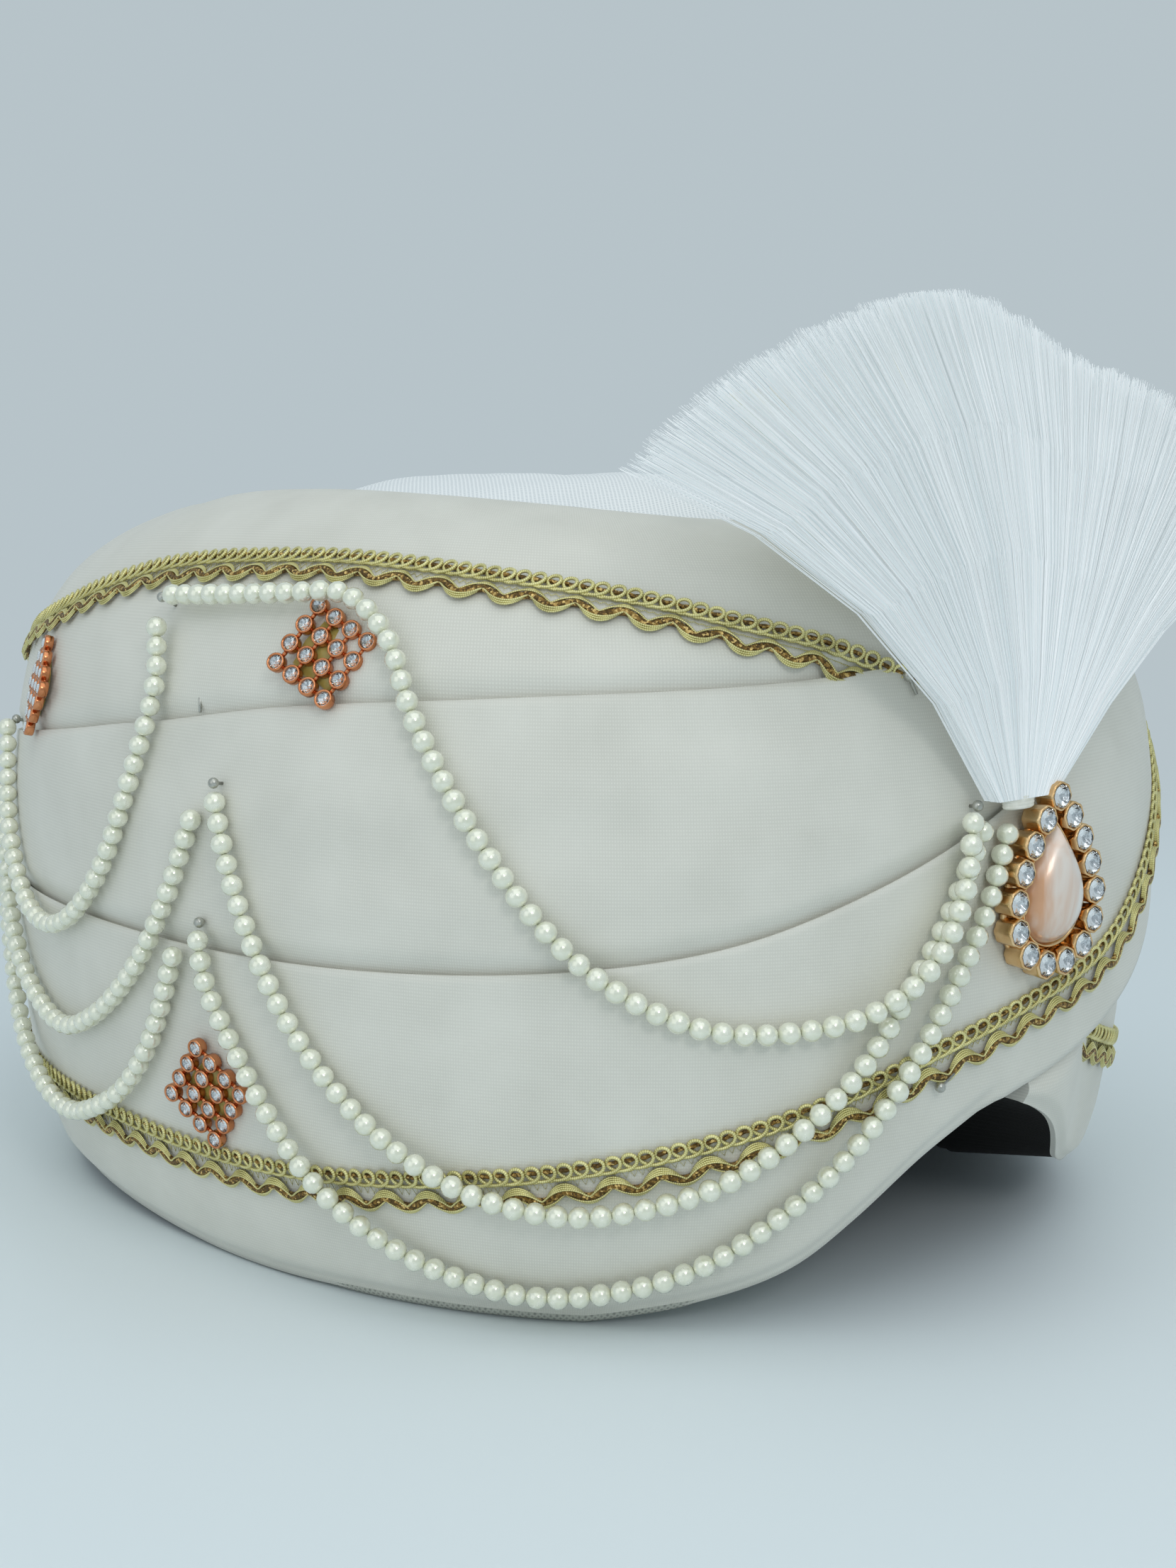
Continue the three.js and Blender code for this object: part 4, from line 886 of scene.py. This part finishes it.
# Where a pin or an ornament sits: on the plane of its own solid's foot.
def seatOf(node, turn, run):
    base, out = onCloth(turn, run), outOf(turn, run)
    side = unit(np.cross((0, 0, 1), out))
    return base + out * ((nodePoints(node) - base) @ out).min(), side, np.cross(out, side), out


pins = {
    "pin_1": (88.2, 131.8), "pin_2": (78.2, 99.9), "pin_3": (80.1, 73), "pin_1_back": (118.2, 103),
    "pin_2_back": (123.2, 87), "pin_3_back": (125.1, 65), "pin_front": (8.4, 97.6),
}
pinProfile = [(0, -0.9), (0.35, -0.9), (0.35, 1.9), (0.7, 2.05), (1.0, 2.5), (1.08, 2.95), (0.95, 3.4), (0.6, 3.75),
              (0, 3.88)]
seats = [seatOf(node, *at) for node, at in pins.items()]
# Two more lie along the cloth, by the braids, and a broken needle end sticks in the upper fold.
lying = {"braidEnd": ((13.0, 118.7), (13.25, 120.7), 1.5), "onBraid": ((10.75, 48.2), (12.25, 45.8), 2.6)}
needle = {"top": (82.5, 117.0), "foot": (82.0, 112.6), "lift": 0.3, "thick": 0.3}
for foot, head, lift in lying.values():
    base, out = onCloth(*foot, lift), outOf(*foot)
    along = unit(onCloth(*head, lift) - base)
    seats.append((base, np.cross(out, along), out, along))
foot, top = onCloth(*needle["foot"], needle["lift"]), onCloth(*needle["top"], needle["lift"])
length = np.linalg.norm(top - foot)
needleProfile = [(0, 0), (needle["thick"], 0), (needle["thick"], length), (0, length)]
bases, _, ups, axes = zip(*seats)
dressPins = joinPieces("dressPins", [
    setShapes("pinsOnly", turnedShape("pinPattern", pinProfile, 14), bases, axes, ups, steel),
    setShapes("needleEnd", turnedShape("needlePattern", needleProfile, 10), [foot], [(top - foot) / length],
              [outOf(*needle["foot"])], steel)])
place(dressPins, "pin_steel", *pins)

# Square ornaments of four by four stones, standing on a corner.
ornament = {"rows": 4, "pitch": 4.4, "stone": (1.32, 0.62, 0.55), "stoneUp": 2.2, "rodUp": 1.3, "glueHalf": 5.4,
            "ornament_upper": (68.9, 124.7), "ornament_back": (108, 112.4), "ornament_lower": (80.2, 39.2),
            "leans": {"ornament_upper": 14, "ornament_back": 0, "ornament_lower": 8}}
cupProfile = [(0, 0.5), (1.62, 0.5), (1.8, 0.8), (1.85, 2.1), (1.74, 2.42), (1.5, 2.48), (1.34, 2.2), (1.3, 1.6),
              (0, 1.5)]
rodProfile = [(0, -0.7), (0.42, -0.7), (0.42, 0.7), (0, 0.7)]
cupSpots, rodSpots, rodUps, cupOuts, cupUps, rodOuts, gluePoints, glueFaces = [], [], [], [], [], [], [], []
for node in ("ornament_upper", "ornament_back", "ornament_lower"):
    base, side, up, out = seatOf(node, *ornament[node])
    lean = math.radians(45 + ornament["leans"][node])
    first, second = side * math.cos(lean) + up * math.sin(lean), up * math.cos(lean) - side * math.sin(lean)
    half = (ornament["rows"] - 1) / 2
    spot = lambda i, j: base + first * (i - half) * ornament["pitch"] + second * (j - half) * ornament["pitch"]
    for i in range(ornament["rows"]):
        for j in range(ornament["rows"]):
            cupSpots.append(spot(i, j))
            cupOuts.append(out)
            cupUps.append(up)
            for di, dj, way in ((1, 0, first), (0, 1, second)):
                if i + di < ornament["rows"] and j + dj < ornament["rows"]:
                    rodSpots.append((spot(i, j) + spot(i + di, j + dj)) / 2 + out * ornament["rodUp"])
                    rodOuts.append(way)
                    rodUps.append(out)
    start = len(gluePoints)
    for k in range(24):  # a smear of glue behind the open lattice
        angle = 2 * math.pi * k / 24
        uneven = 1 + 0.05 * math.sin(5 * angle + start)
        wide = ornament["glueHalf"] / max(abs(math.cos(angle)), abs(math.sin(angle))) ** 0.8 * uneven
        rimAt = first * wide * math.cos(angle) + second * wide * math.sin(angle)
        gluePoints += [base + rimAt + out * 0.02, base + rimAt * 0.93 + out * 0.55, base + out * 0.62]
    glueFaces += [tuple(start + v for v in face) for face in gridFaces(24, 3, closeColumns=True)]
ornamentCups = joinPieces("ornamentCups", [
    setShapes("cups", turnedShape("cupPattern", cupProfile, 18), cupSpots, cupOuts, cupUps, platings["roseGoldBrass"]),
    setShapes("rods", turnedShape("rodPattern", rodProfile, 8), rodSpots, rodOuts, rodUps, platings["roseGoldBrass"])])
place(ornamentCups, "copper_setting", "ornament_upper", "ornament_back", "ornament_lower")
raised = np.array(cupSpots) + np.array(cupOuts) * ornament["stoneUp"]
ornamentStones = setShapes("ornamentStones", cutStone("smallStone", *ornament["stone"]), raised, cupOuts, cupUps, glass)
place(ornamentStones, "copper_setting")
foilProfile = [(0, -0.62), (1.28, -0.1), (1.28, -0.14), (0, -0.68)]
ornamentFoils = setShapes("ornamentFoils", turnedShape("smallFoil", foilProfile, 8, smooth=False), raised, cupOuts,
                          cupUps, foil)
place(ornamentFoils, "copper_setting")
ornamentGlue = makeObject("ornamentGlue", gluePoints, glueFaces, glue)
place(ornamentGlue, "copper_setting")
print("turban: pins and ornaments set")

# The drop brooch: fluted cups on a pointed plate round a drop pearl in a thin bezel.
brooch = {"across": -2.2, "height": 82.6, "back": 139.3, "facing": 3, "ring": (25, 32), "cups": 15, "plate": 1.2,
          "plateSize": (19, 26), "stone": (2.2, 1.05, 0.95), "stoneUp": 4.5, "drop": (17.6, 23.4), "rise": 6.0,
          "lower": 0.6, "narrow": 0.9, "fill": 1.16, "steps": 480, "dropSteps": 72, "dropRows": 22}


def dropOutline(width, height, count):
    angle = np.arange(count) * 2 * np.pi / count
    half = width / 2 * brooch["fill"] * np.sin(angle) * np.abs(np.sin(angle / 2)) ** brooch["narrow"]
    return np.stack([half, height / 2 * np.cos(angle)], -1)


def broochPoint(x, y, z):
    turn = math.radians(brooch["facing"])
    return np.stack(np.broadcast_arrays(brooch["across"] + x * math.cos(turn) - z * math.sin(turn),
                                        -brooch["back"] - x * math.sin(turn) - z * math.cos(turn),
                                        brooch["height"] + y), -1)


outline = dropOutline(*brooch["ring"], brooch["steps"])
arc = np.concatenate([[0], np.cumsum(np.linalg.norm(np.diff(np.vstack([outline, outline[:1]]), axis=0), axis=1))])
even = np.arange(brooch["cups"]) * arc[-1] / brooch["cups"]
ringSpots = np.stack([np.interp(even, arc, np.append(outline[:, k], outline[0, k])) for k in (0, 1)], -1)
spots = broochPoint(ringSpots[:, 0], ringSpots[:, 1], 0.0)
outs = np.tile(broochPoint(0, 0, 1) - broochPoint(0, 0, 0), (len(spots), 1))
ups = np.tile((0, 0, 1.0), (len(spots), 1))
broochProfile = [(0, 0.0), (2.3, 0.0), (2.62, 0.5), (2.55, 1.4), (2.7, 2.6), (2.78, 3.9), (2.72, 4.5), (2.5, 4.66),
                 (2.28, 4.45), (2.2, 3.6), (0, 3.2)]


# A closed ring that follows the drop outline, with a profile of (spread, height) corners.
def dropRing(name, size, profile, material, count=96):
    points = []
    for spread, z in profile:
        edge = dropOutline(size[0] + 2 * spread, size[1] + 2 * spread, count)
        points.append(broochPoint(edge[:, 0], edge[:, 1] - brooch["lower"], z))
    grid = np.stack(points, 1)
    return makeObject(name, grid, gridFaces(count, len(profile), closeColumns=True, closeRows=True), material)


plateProfile = [(-5.5, 0.05), (3.4, 0.05), (3.6, 0.6), (3.4, 1.2), (-5.5, 1.2)]
bezelProfile = [(-0.35, 1.2), (0.75, 1.2), (0.7, 2.4), (0.5, 3.1), (0.22, 3.2), (0.1, 2.6), (-0.35, 2.2)]
plate = dropRing("plate", brooch["plateSize"], plateProfile, platings["yellowGoldBrass"])
bezel = dropRing("bezel", brooch["drop"], bezelProfile, platings["yellowGoldBrass"])
cups = setShapes("cups", turnedShape("flutedCup", broochProfile, 40, flutes=8, depth=0.035), spots, outs, ups,
                 platings["yellowGoldBrass"])
broochSetting = joinPieces("broochSetting", [cups, plate, bezel])
place(broochSetting, "gold_setting", "brooch_setting")
stoneSpots = spots + outs * brooch["stoneUp"]
broochStones = setShapes("broochStones", cutStone("largeStone", *brooch["stone"]), stoneSpots, outs, ups, glass)
place(broochStones, "gold_setting")
foilProfile = [(0, -1.08), (2.14, -0.12), (2.14, -0.18), (0, -1.15)]
broochFoils = setShapes("broochFoils", turnedShape("largeFoil", foilProfile, 8, smooth=False), stoneSpots, outs, ups,
                        foil)
place(broochFoils, "gold_setting")

# Pearl lacquer on resin: peach under milky bands, with a silky coat, and a painted sheen that pales it towards +X.
dropLacquer, tree, shader = startMaterial("pearlResin", {"Roughness": 0.28, "Metallic": 0.2, "Coat Weight": 0.8,
                                                         "Coat Roughness": 0.1, "Sheen Weight": 0.1})
place3d = addNode(tree, "ShaderNodeTexCoord")
upright = addNode(tree, "ShaderNodeMapping", {"Scale": (1.0, 1.0, 0.3)}, {"Vector": place3d.outputs["Object"]})
milky = addNode(tree, "ShaderNodeTexNoise", {"Scale": 220.0, "Detail": 3.0, "Distortion": 0.6}, {"Vector": upright})
sideways = addNode(tree, "ShaderNodeSeparateXYZ", links={0: place3d.outputs["Object"]})
# painted light: the pearl is painted paler towards +X, a painted sheen on that side
paintedSheenAcross = addNode(tree, "ShaderNodeMapRange", {"From Min": -7 * mm, "From Max": 6 * mm, "To Min": -0.28, "To Max": 0.22},
                {"Value": sideways})
bandsAndPaintedSheen = calc(tree, "ADD", milky.outputs["Fac"], paintedSheenAcross)
ramp = addNode(tree, "ShaderNodeValToRGB", links={0: bandsAndPaintedSheen})
ramp.color_ramp.elements[0].color, ramp.color_ramp.elements[0].position = linear("#d9a47c"), 0.2
ramp.color_ramp.elements[1].color, ramp.color_ramp.elements[1].position = linear("#ece5dd"), 0.62
grain = noiseOf(tree, {"Scale": 1500.0})
bumpBy(tree, shader, grain, 0.08, 0.05)
tree.links.new(ramp.outputs[0], shader.inputs["Base Color"])
levels = np.sin(np.linspace(0, np.pi / 2, brooch["dropRows"]))
edge = dropOutline(*brooch["drop"], brooch["dropSteps"])
layers = [broochPoint(edge[:, 0] * shrink, edge[:, 1] * shrink - brooch["lower"],
                      brooch["plate"] + turban["gap"] + brooch["rise"] * level)
          for level, shrink in zip(levels, np.sqrt(np.maximum(1 - levels**2, 0)))]
layers.insert(0, broochPoint(edge[:, 0] * 0, edge[:, 1] * 0 - brooch["lower"], brooch["plate"] + turban["gap"]))
faces = gridFaces(brooch["dropSteps"], len(layers), closeColumns=True)
dropPearl = makeObject("broochPearl", np.stack(layers, 1), faces, dropLacquer)
place(dropPearl, "drop_pearl", "brooch_pearl")
print("turban: brooch set")

# Nylon filament, drawn: milky white, with a painted glow, an even emission for light passed from bristle to bristle.
nylonWithPaintedGlow, tree, shader = startMaterial("nylonFilament", {"Roughness": 0.45, "IOR": 1.53, "Emission Strength": 0.15,
                                                      "Emission Color": linear("#e8f1f4")})
strandTone = addNode(tree, "ShaderNodeAttribute", {"attribute_name": "strandTone"})
tintBy(tree, shader, strandTone.outputs["Fac"], "#dfe6e8", "#ffffff")

# The plume: bristles that fan out of a bound head and lie back in front of the brow.
plume = {
    "across": -12, "front": 140.9, "height": 99, "root": -11.3, "jointCount": 5,
    "counts": {"Count": 6500, "Seed": 21},
    "degrees": {"Spread": 55, "Tilt": 4.4, "Lean": 8.8, "Wrap right": 7, "Wrap left": 0.5},
    "lengths": {"Length": 96, "Root half": 8.6, "Root depth": 3.4, "Tip depth": 6.0, "Bristle": 0.092},
    "shares": {"Splay": 0.32, "Curl": 1.4, "Ragged": 0.06, "Dip": 0.1, "Dip at": 0.25, "Dip width": 0.3,
               "Trim": 0.042, "Trim at": -0.5, "Trim width": 0.4},
}
bristles, given = startTree("bristles", {
    "Int": plume["counts"], "Float": [*plume["degrees"], *plume["lengths"], *plume["shares"]],
    "Vector": ["Head"], "Material": ["Material"]})
tree = bristles
roots = addNode(tree, "GeometryNodePoints", links={"Count": given["Count"]})
number = addNode(tree, "GeometryNodeInputIndex")
evenly = calc(tree, "DIVIDE", number, given["Count"])
lockNoise = addNode(tree, "ShaderNodeTexNoise", {"noise_dimensions": "1D", "Scale": 30.0, "Detail": 2.0}, {"W": evenly})
stray = randomOf(tree, -0.03, 0.03, {"Seed": given["Seed"]})
pulled = calc(tree, "MULTIPLY_ADD", lockNoise.outputs["Fac"], 0.02, stray)
spaced = addNode(tree, "ShaderNodeMapRange", {"clamp": False, "To Min": -1.0, "To Max": 1.0}, {"Value": evenly})
outSquare = calc(tree, "MULTIPLY", spaced, spaced)
thinner = calc(tree, "MULTIPLY_ADD", outSquare, 0.3, 0.7)  # fewer bristles at the sides
placed = calc(tree, "MULTIPLY_ADD", spaced, thinner, pulled)
cuts = []
for cut in ("Dip", "Trim"):
    away = calc(tree, "SUBTRACT", placed, given[cut + " at"])
    wide = calc(tree, "DIVIDE", away, given[cut + " width"])
    square = calc(tree, "MULTIPLY", wide, wide)
    fall = calc(tree, "MULTIPLY", square, -1.0)
    bell = calc(tree, "EXPONENT", fall)
    cuts.append(calc(tree, "MULTIPLY", bell, given[cut]))
dipCut = calc(tree, "ADD", *cuts)
tipNoise = randomOf(tree, 0.0, 1.0, {"Seed": given["Seed"], "ID": number})
tipBias = calc(tree, "POWER", tipNoise, 3.0)
tipLock = calc(tree, "MULTIPLY_ADD", lockNoise.outputs["Fac"], 0.5, tipBias)
tipCut = calc(tree, "MULTIPLY_ADD", tipLock, given["Ragged"], dipCut)
tipShare = calc(tree, "SUBTRACT", 1.02, tipCut)
tip = calc(tree, "MULTIPLY", tipShare, given["Length"])
deep = randomOf(tree, -0.5, 0.5, {"Seed": calc(tree, "ADD", given["Seed"], 7.0)})
strandTone = randomOf(tree, 0.0, 1.0, {"Seed": calc(tree, "ADD", given["Seed"], 13.0)})
kept = roots
for label, value in (("place", placed), ("tip", tip), ("deep", deep), ("strandTone", strandTone)):
    kept = storeOn(tree, kept, "FLOAT", label, value)
straight = addNode(tree, "GeometryNodeCurvePrimitiveLine")
jointed = addNode(tree, "GeometryNodeResampleCurve", {"mode": "COUNT", "Count": plume["jointCount"]},
                  {"Curve": straight})
planted = addNode(tree, "GeometryNodeInstanceOnPoints", links={"Points": kept, "Instance": jointed})
strands = addNode(tree, "GeometryNodeRealizeInstances", links={0: planted})
place1, tip1, deep1 = (named(tree, label, "FLOAT") for label in ("place", "tip", "deep"))
share = addNode(tree, "GeometryNodeSplineParameter").outputs["Factor"]
along = calc(tree, "MULTIPLY", share, tip1)
opened = calc(tree, "SUBTRACT", share, 1.0)
splayed = calc(tree, "MULTIPLY_ADD", opened, given["Splay"], 1.0)
turned = calc(tree, "MULTIPLY", splayed, place1)
angle = calc(tree, "MULTIPLY_ADD", turned, given["Spread"], given["Tilt"])
sine = calc(tree, "SINE", angle)
cosine = calc(tree, "COSINE", angle)
sideways = calc(tree, "MULTIPLY", sine, along)
upward = calc(tree, "MULTIPLY", cosine, along)
toLeft = calc(tree, "GREATER_THAN", place1, 0.0)
wrap = addNode(tree, "ShaderNodeMapRange",
               links={"Value": toLeft, "To Min": given["Wrap right"], "To Max": given["Wrap left"]})
off = calc(tree, "ABSOLUTE", place1)
back = calc(tree, "MULTIPLY", off, wrap)
backSine = calc(tree, "SINE", back)
backCosine = calc(tree, "COSINE", back)
leanSine = calc(tree, "SINE", given["Lean"])
leanCosine = calc(tree, "COSINE", given["Lean"])
sideSize = calc(tree, "ABSOLUTE", sideways)
wrapped = calc(tree, "MULTIPLY", sideSize, backSine)
leaning = calc(tree, "MULTIPLY_ADD", upward, leanSine, wrapped)
bent = calc(tree, "POWER", share, given["Curl"])
backMove = calc(tree, "MULTIPLY", leaning, bent)
depthNow = addNode(tree, "ShaderNodeMapRange",
                   links={"Value": share, "To Min": given["Root depth"], "To Max": given["Tip depth"]})
depthMove = calc(tree, "MULTIPLY_ADD", deep1, depthNow, backMove)
rootMove = calc(tree, "MULTIPLY", place1, given["Root half"])
sideMove = calc(tree, "MULTIPLY_ADD", sideways, backCosine, rootMove)
upMove = calc(tree, "MULTIPLY", upward, leanCosine)
moved = addNode(tree, "ShaderNodeCombineXYZ", links={0: sideMove, 1: depthMove, 2: upMove})
headed = addNode(tree, "ShaderNodeVectorMath", {"operation": "ADD"}, {0: moved, 1: given["Head"]})
fanned = addNode(tree, "GeometryNodeSetPosition", links={"Geometry": strands, "Position": headed})
taper = addNode(tree, "ShaderNodeMapRange", {"To Min": 1.0, "To Max": 0.5}, {"Value": share})
section = addNode(tree, "GeometryNodeCurvePrimitiveCircle", {"Resolution": 3}, {"Radius": given["Bristle"]})
tube = addNode(tree, "GeometryNodeCurveToMesh", links={"Curve": fanned, "Profile Curve": section, "Scale": taper})
soft = addNode(tree, "GeometryNodeSetShadeSmooth", links={0: tube})
whole = addNode(tree, "GeometryNodeRealizeInstances", links={0: soft})
endTree(tree, whole, given["Material"])
start = makeTrail("plumeStart", [(0, 0, 0)], edges=False)
head = np.array([plume["root"], -plume["front"], plume["height"]]) * mm + axisAt
plumeBristles = growMesh("plumeBristles", start, bristles, {
    **plume["counts"], **plume["shares"],
    **{label: math.radians(degrees) for label, degrees in plume["degrees"].items()},
    **{label: length * mm for label, length in plume["lengths"].items()},
    "Head": [float(v) for v in head], "Material": nylonWithPaintedGlow})
bpy.data.objects.remove(start)
place(plumeBristles, "bristle", "plume")

# The bound head of the plume, wound with thread.
binding = {"half": (4.2, 1.7), "low": -1.9, "high": 0.8, "turns": 4, "rows": 67, "sides": 36, "cord": 0.035,
           "ends": 0.12}
rows, sides = binding["rows"], binding["sides"]
rings = np.linspace(0, 1, rows)
around = np.arange(sides) * 2 * np.pi / sides
heights = binding["low"] + (binding["high"] - binding["low"]) * rings
bulge = 1 + binding["cord"] * np.abs(np.sin(np.pi * binding["turns"] * rings))
bulge = bulge - binding["ends"] * np.abs(2 * rings - 1) ** 6
wound = np.stack(np.broadcast_arrays(plume["across"] + binding["half"][0] * bulge[None, :] * np.cos(around)[:, None],
                                     -plume["front"] + binding["half"][1] * bulge[None, :] * np.sin(around)[:, None],
                                     plume["height"] + heights[None, :] + 0 * around[:, None]), -1)
ends = [tuple(i * rows + end for i in range(sides)) for end in (0, rows - 1)]
boundHead = makeObject("plumeBinding", wound, gridFaces(sides, rows, closeColumns=True) + ends, cotton)
place(boundHead, "bristle")
print("turban: plume planted")

# Stiffened organza in sharp pleats: matt cream cloth, a little darker down in the folds.
organza, tree, shader = startMaterial("stiffOrganza", {"Roughness": 0.7, "Sheen Weight": 0.2})
weave = weaveOf(tree, 0.6, 0.6)
tintBy(tree, shader, weave, "#dcd9c8", "#f4f1e4")
bumpBy(tree, shader, weave, 0.3, 0.1)
fan = {"across": -3, "foot": 99, "length": 92, "spread": 38, "pleats": 12, "pleat": 1.4, "cloth": 1.5, "start": 7,
       "dip": 10, "thick": 0.5, "rows": 40, "perPleat": 8,
       "line": [(0, 139.4), (13, 137), (27, 132.4), (52, 121), (95, 101)]}
fanFrontAt = smoothRows(fan["line"])
fanAngles = np.linspace(-fan["spread"], fan["spread"], fan["pleats"] * fan["perPleat"] + 1)
zigzag = np.abs((np.linspace(0, fan["pleats"], len(fanAngles)) + 1) % 2 - 1)
angleNow = np.radians(fanAngles)[:, None]
tipNow = fan["length"] - np.where(fanAngles < 0, fan["dip"] * np.sin(-np.pi * fanAngles / fan["spread"]), 0)
alongNow = fan["start"] + (tipNow[:, None] - fan["start"]) * np.linspace(0, 1, fan["rows"])[None, :]
upNow = alongNow * np.cos(angleNow)
fanPoints = np.stack([fan["across"] + alongNow * np.sin(angleNow),
                      -fanFrontAt(upNow) + fan["pleat"] * zigzag[:, None] * alongNow / fan["length"] + fan["cloth"] / 2,
                      fan["foot"] + upNow], -1)
width = np.concatenate([[0], np.cumsum(np.linalg.norm(np.diff(fanPoints[:, -1], axis=0), axis=1))])
fanCloth = makeObject("pleatedFan", fanPoints, gridFaces(*fanPoints.shape[:2]), organza,
                      uv=np.stack(np.broadcast_arrays(width[:, None], alongNow), -1))
thick = fanCloth.modifiers.new("cloth", "SOLIDIFY")
thick.thickness, thick.offset = fan["thick"] * mm, 0.0
place(fanCloth, "fan_cloth", "pleated_fan")
print("turban: fan pleated")

# The floor, the light and the camera.
studio = {"floor": "#e6eef1", "air": "#c3d0d6", "airStrength": 0.87, "floorReach": (0.3, 0.85)}
floorPaint, tree, shader = startMaterial("paintedBoard", {"Base Color": linear(studio["floor"]), "Roughness": 0.6})
place3d = addNode(tree, "ShaderNodeTexCoord")
away = addNode(tree, "ShaderNodeVectorMath", {"operation": "LENGTH"}, {0: place3d.outputs["Object"]})
near, far = studio["floorReach"]
fade = addNode(tree, "ShaderNodeMapRange", {"interpolation_type": "SMOOTHSTEP", "From Min": near, "From Max": far},
               {"Value": away.outputs["Value"]})
clear = addNode(tree, "ShaderNodeBsdfTransparent")
blended = addNode(tree, "ShaderNodeMixShader", links={0: fade, 1: shader, 2: clear})
for node in tree.nodes:
    if node.type == "OUTPUT_MATERIAL":
        tree.links.new(blended.outputs[0], node.inputs["Surface"])
mesh = bpy.data.meshes.new("floor")
mesh.from_pydata([(-2, -2, 0), (2, -2, 0), (2, 2, 0), (-2, 2, 0)], [], [(0, 1, 2, 3)])
mesh.materials.append(floorPaint)
floor = addObject("floor", mesh)

air = bpy.data.worlds.new("studioAir")
air.use_nodes = True
bpy.context.scene.world = air
for node in air.node_tree.nodes:
    if node.type == "BACKGROUND":
        node.inputs["Color"].default_value = linear(studio["air"])
        node.inputs["Strength"].default_value = studio["airStrength"]
# each lamp: where it stands, where it points, size, power
lamps = {"overhead": ((-0.25, -0.45, 1.2), (0, 0, 0.08), 1.4, 4.5),
         "front": ((-0.5, -1.0, 0.7), (0, 0, 0.08), 0.25, 1.5),
         "side": ((-1.25, -0.1, 0.5), (0, 0, 0.08), 1.0, 1.7)}
for name, (at, towards, size, power) in lamps.items():
    light = bpy.data.lights.new(name, "AREA")
    light.size, light.energy = size, power
    lamp = addObject(name, light)
    lamp.location = at
    way = np.array(towards) - np.array(at)
    lamp.rotation_euler = (math.atan2(math.hypot(way[0], way[1]), -way[2]), 0, math.atan2(way[1], way[0]) - math.pi / 2)

photo = {"turn": -41.5, "distance": 500, "height": 156, "pitch": 8, "aim": -42.25, "lens": 48.82}
camera = addObject("photoCamera", bpy.data.cameras.new("photoCamera"))
camera.data.lens, camera.data.sensor_width, camera.data.clip_start = photo["lens"], 36, 0.01
stand = math.radians(photo["turn"])
camera.location = np.array([math.sin(stand) * photo["distance"], -math.cos(stand) * photo["distance"],
                            photo["height"]]) * mm + axisAt
camera.rotation_euler = (math.radians(90 - photo["pitch"]), 0, math.radians(photo["aim"]))
bpy.context.scene.camera = camera
bpy.context.scene.view_settings.view_transform = "Standard"
print("turban: stage lit")
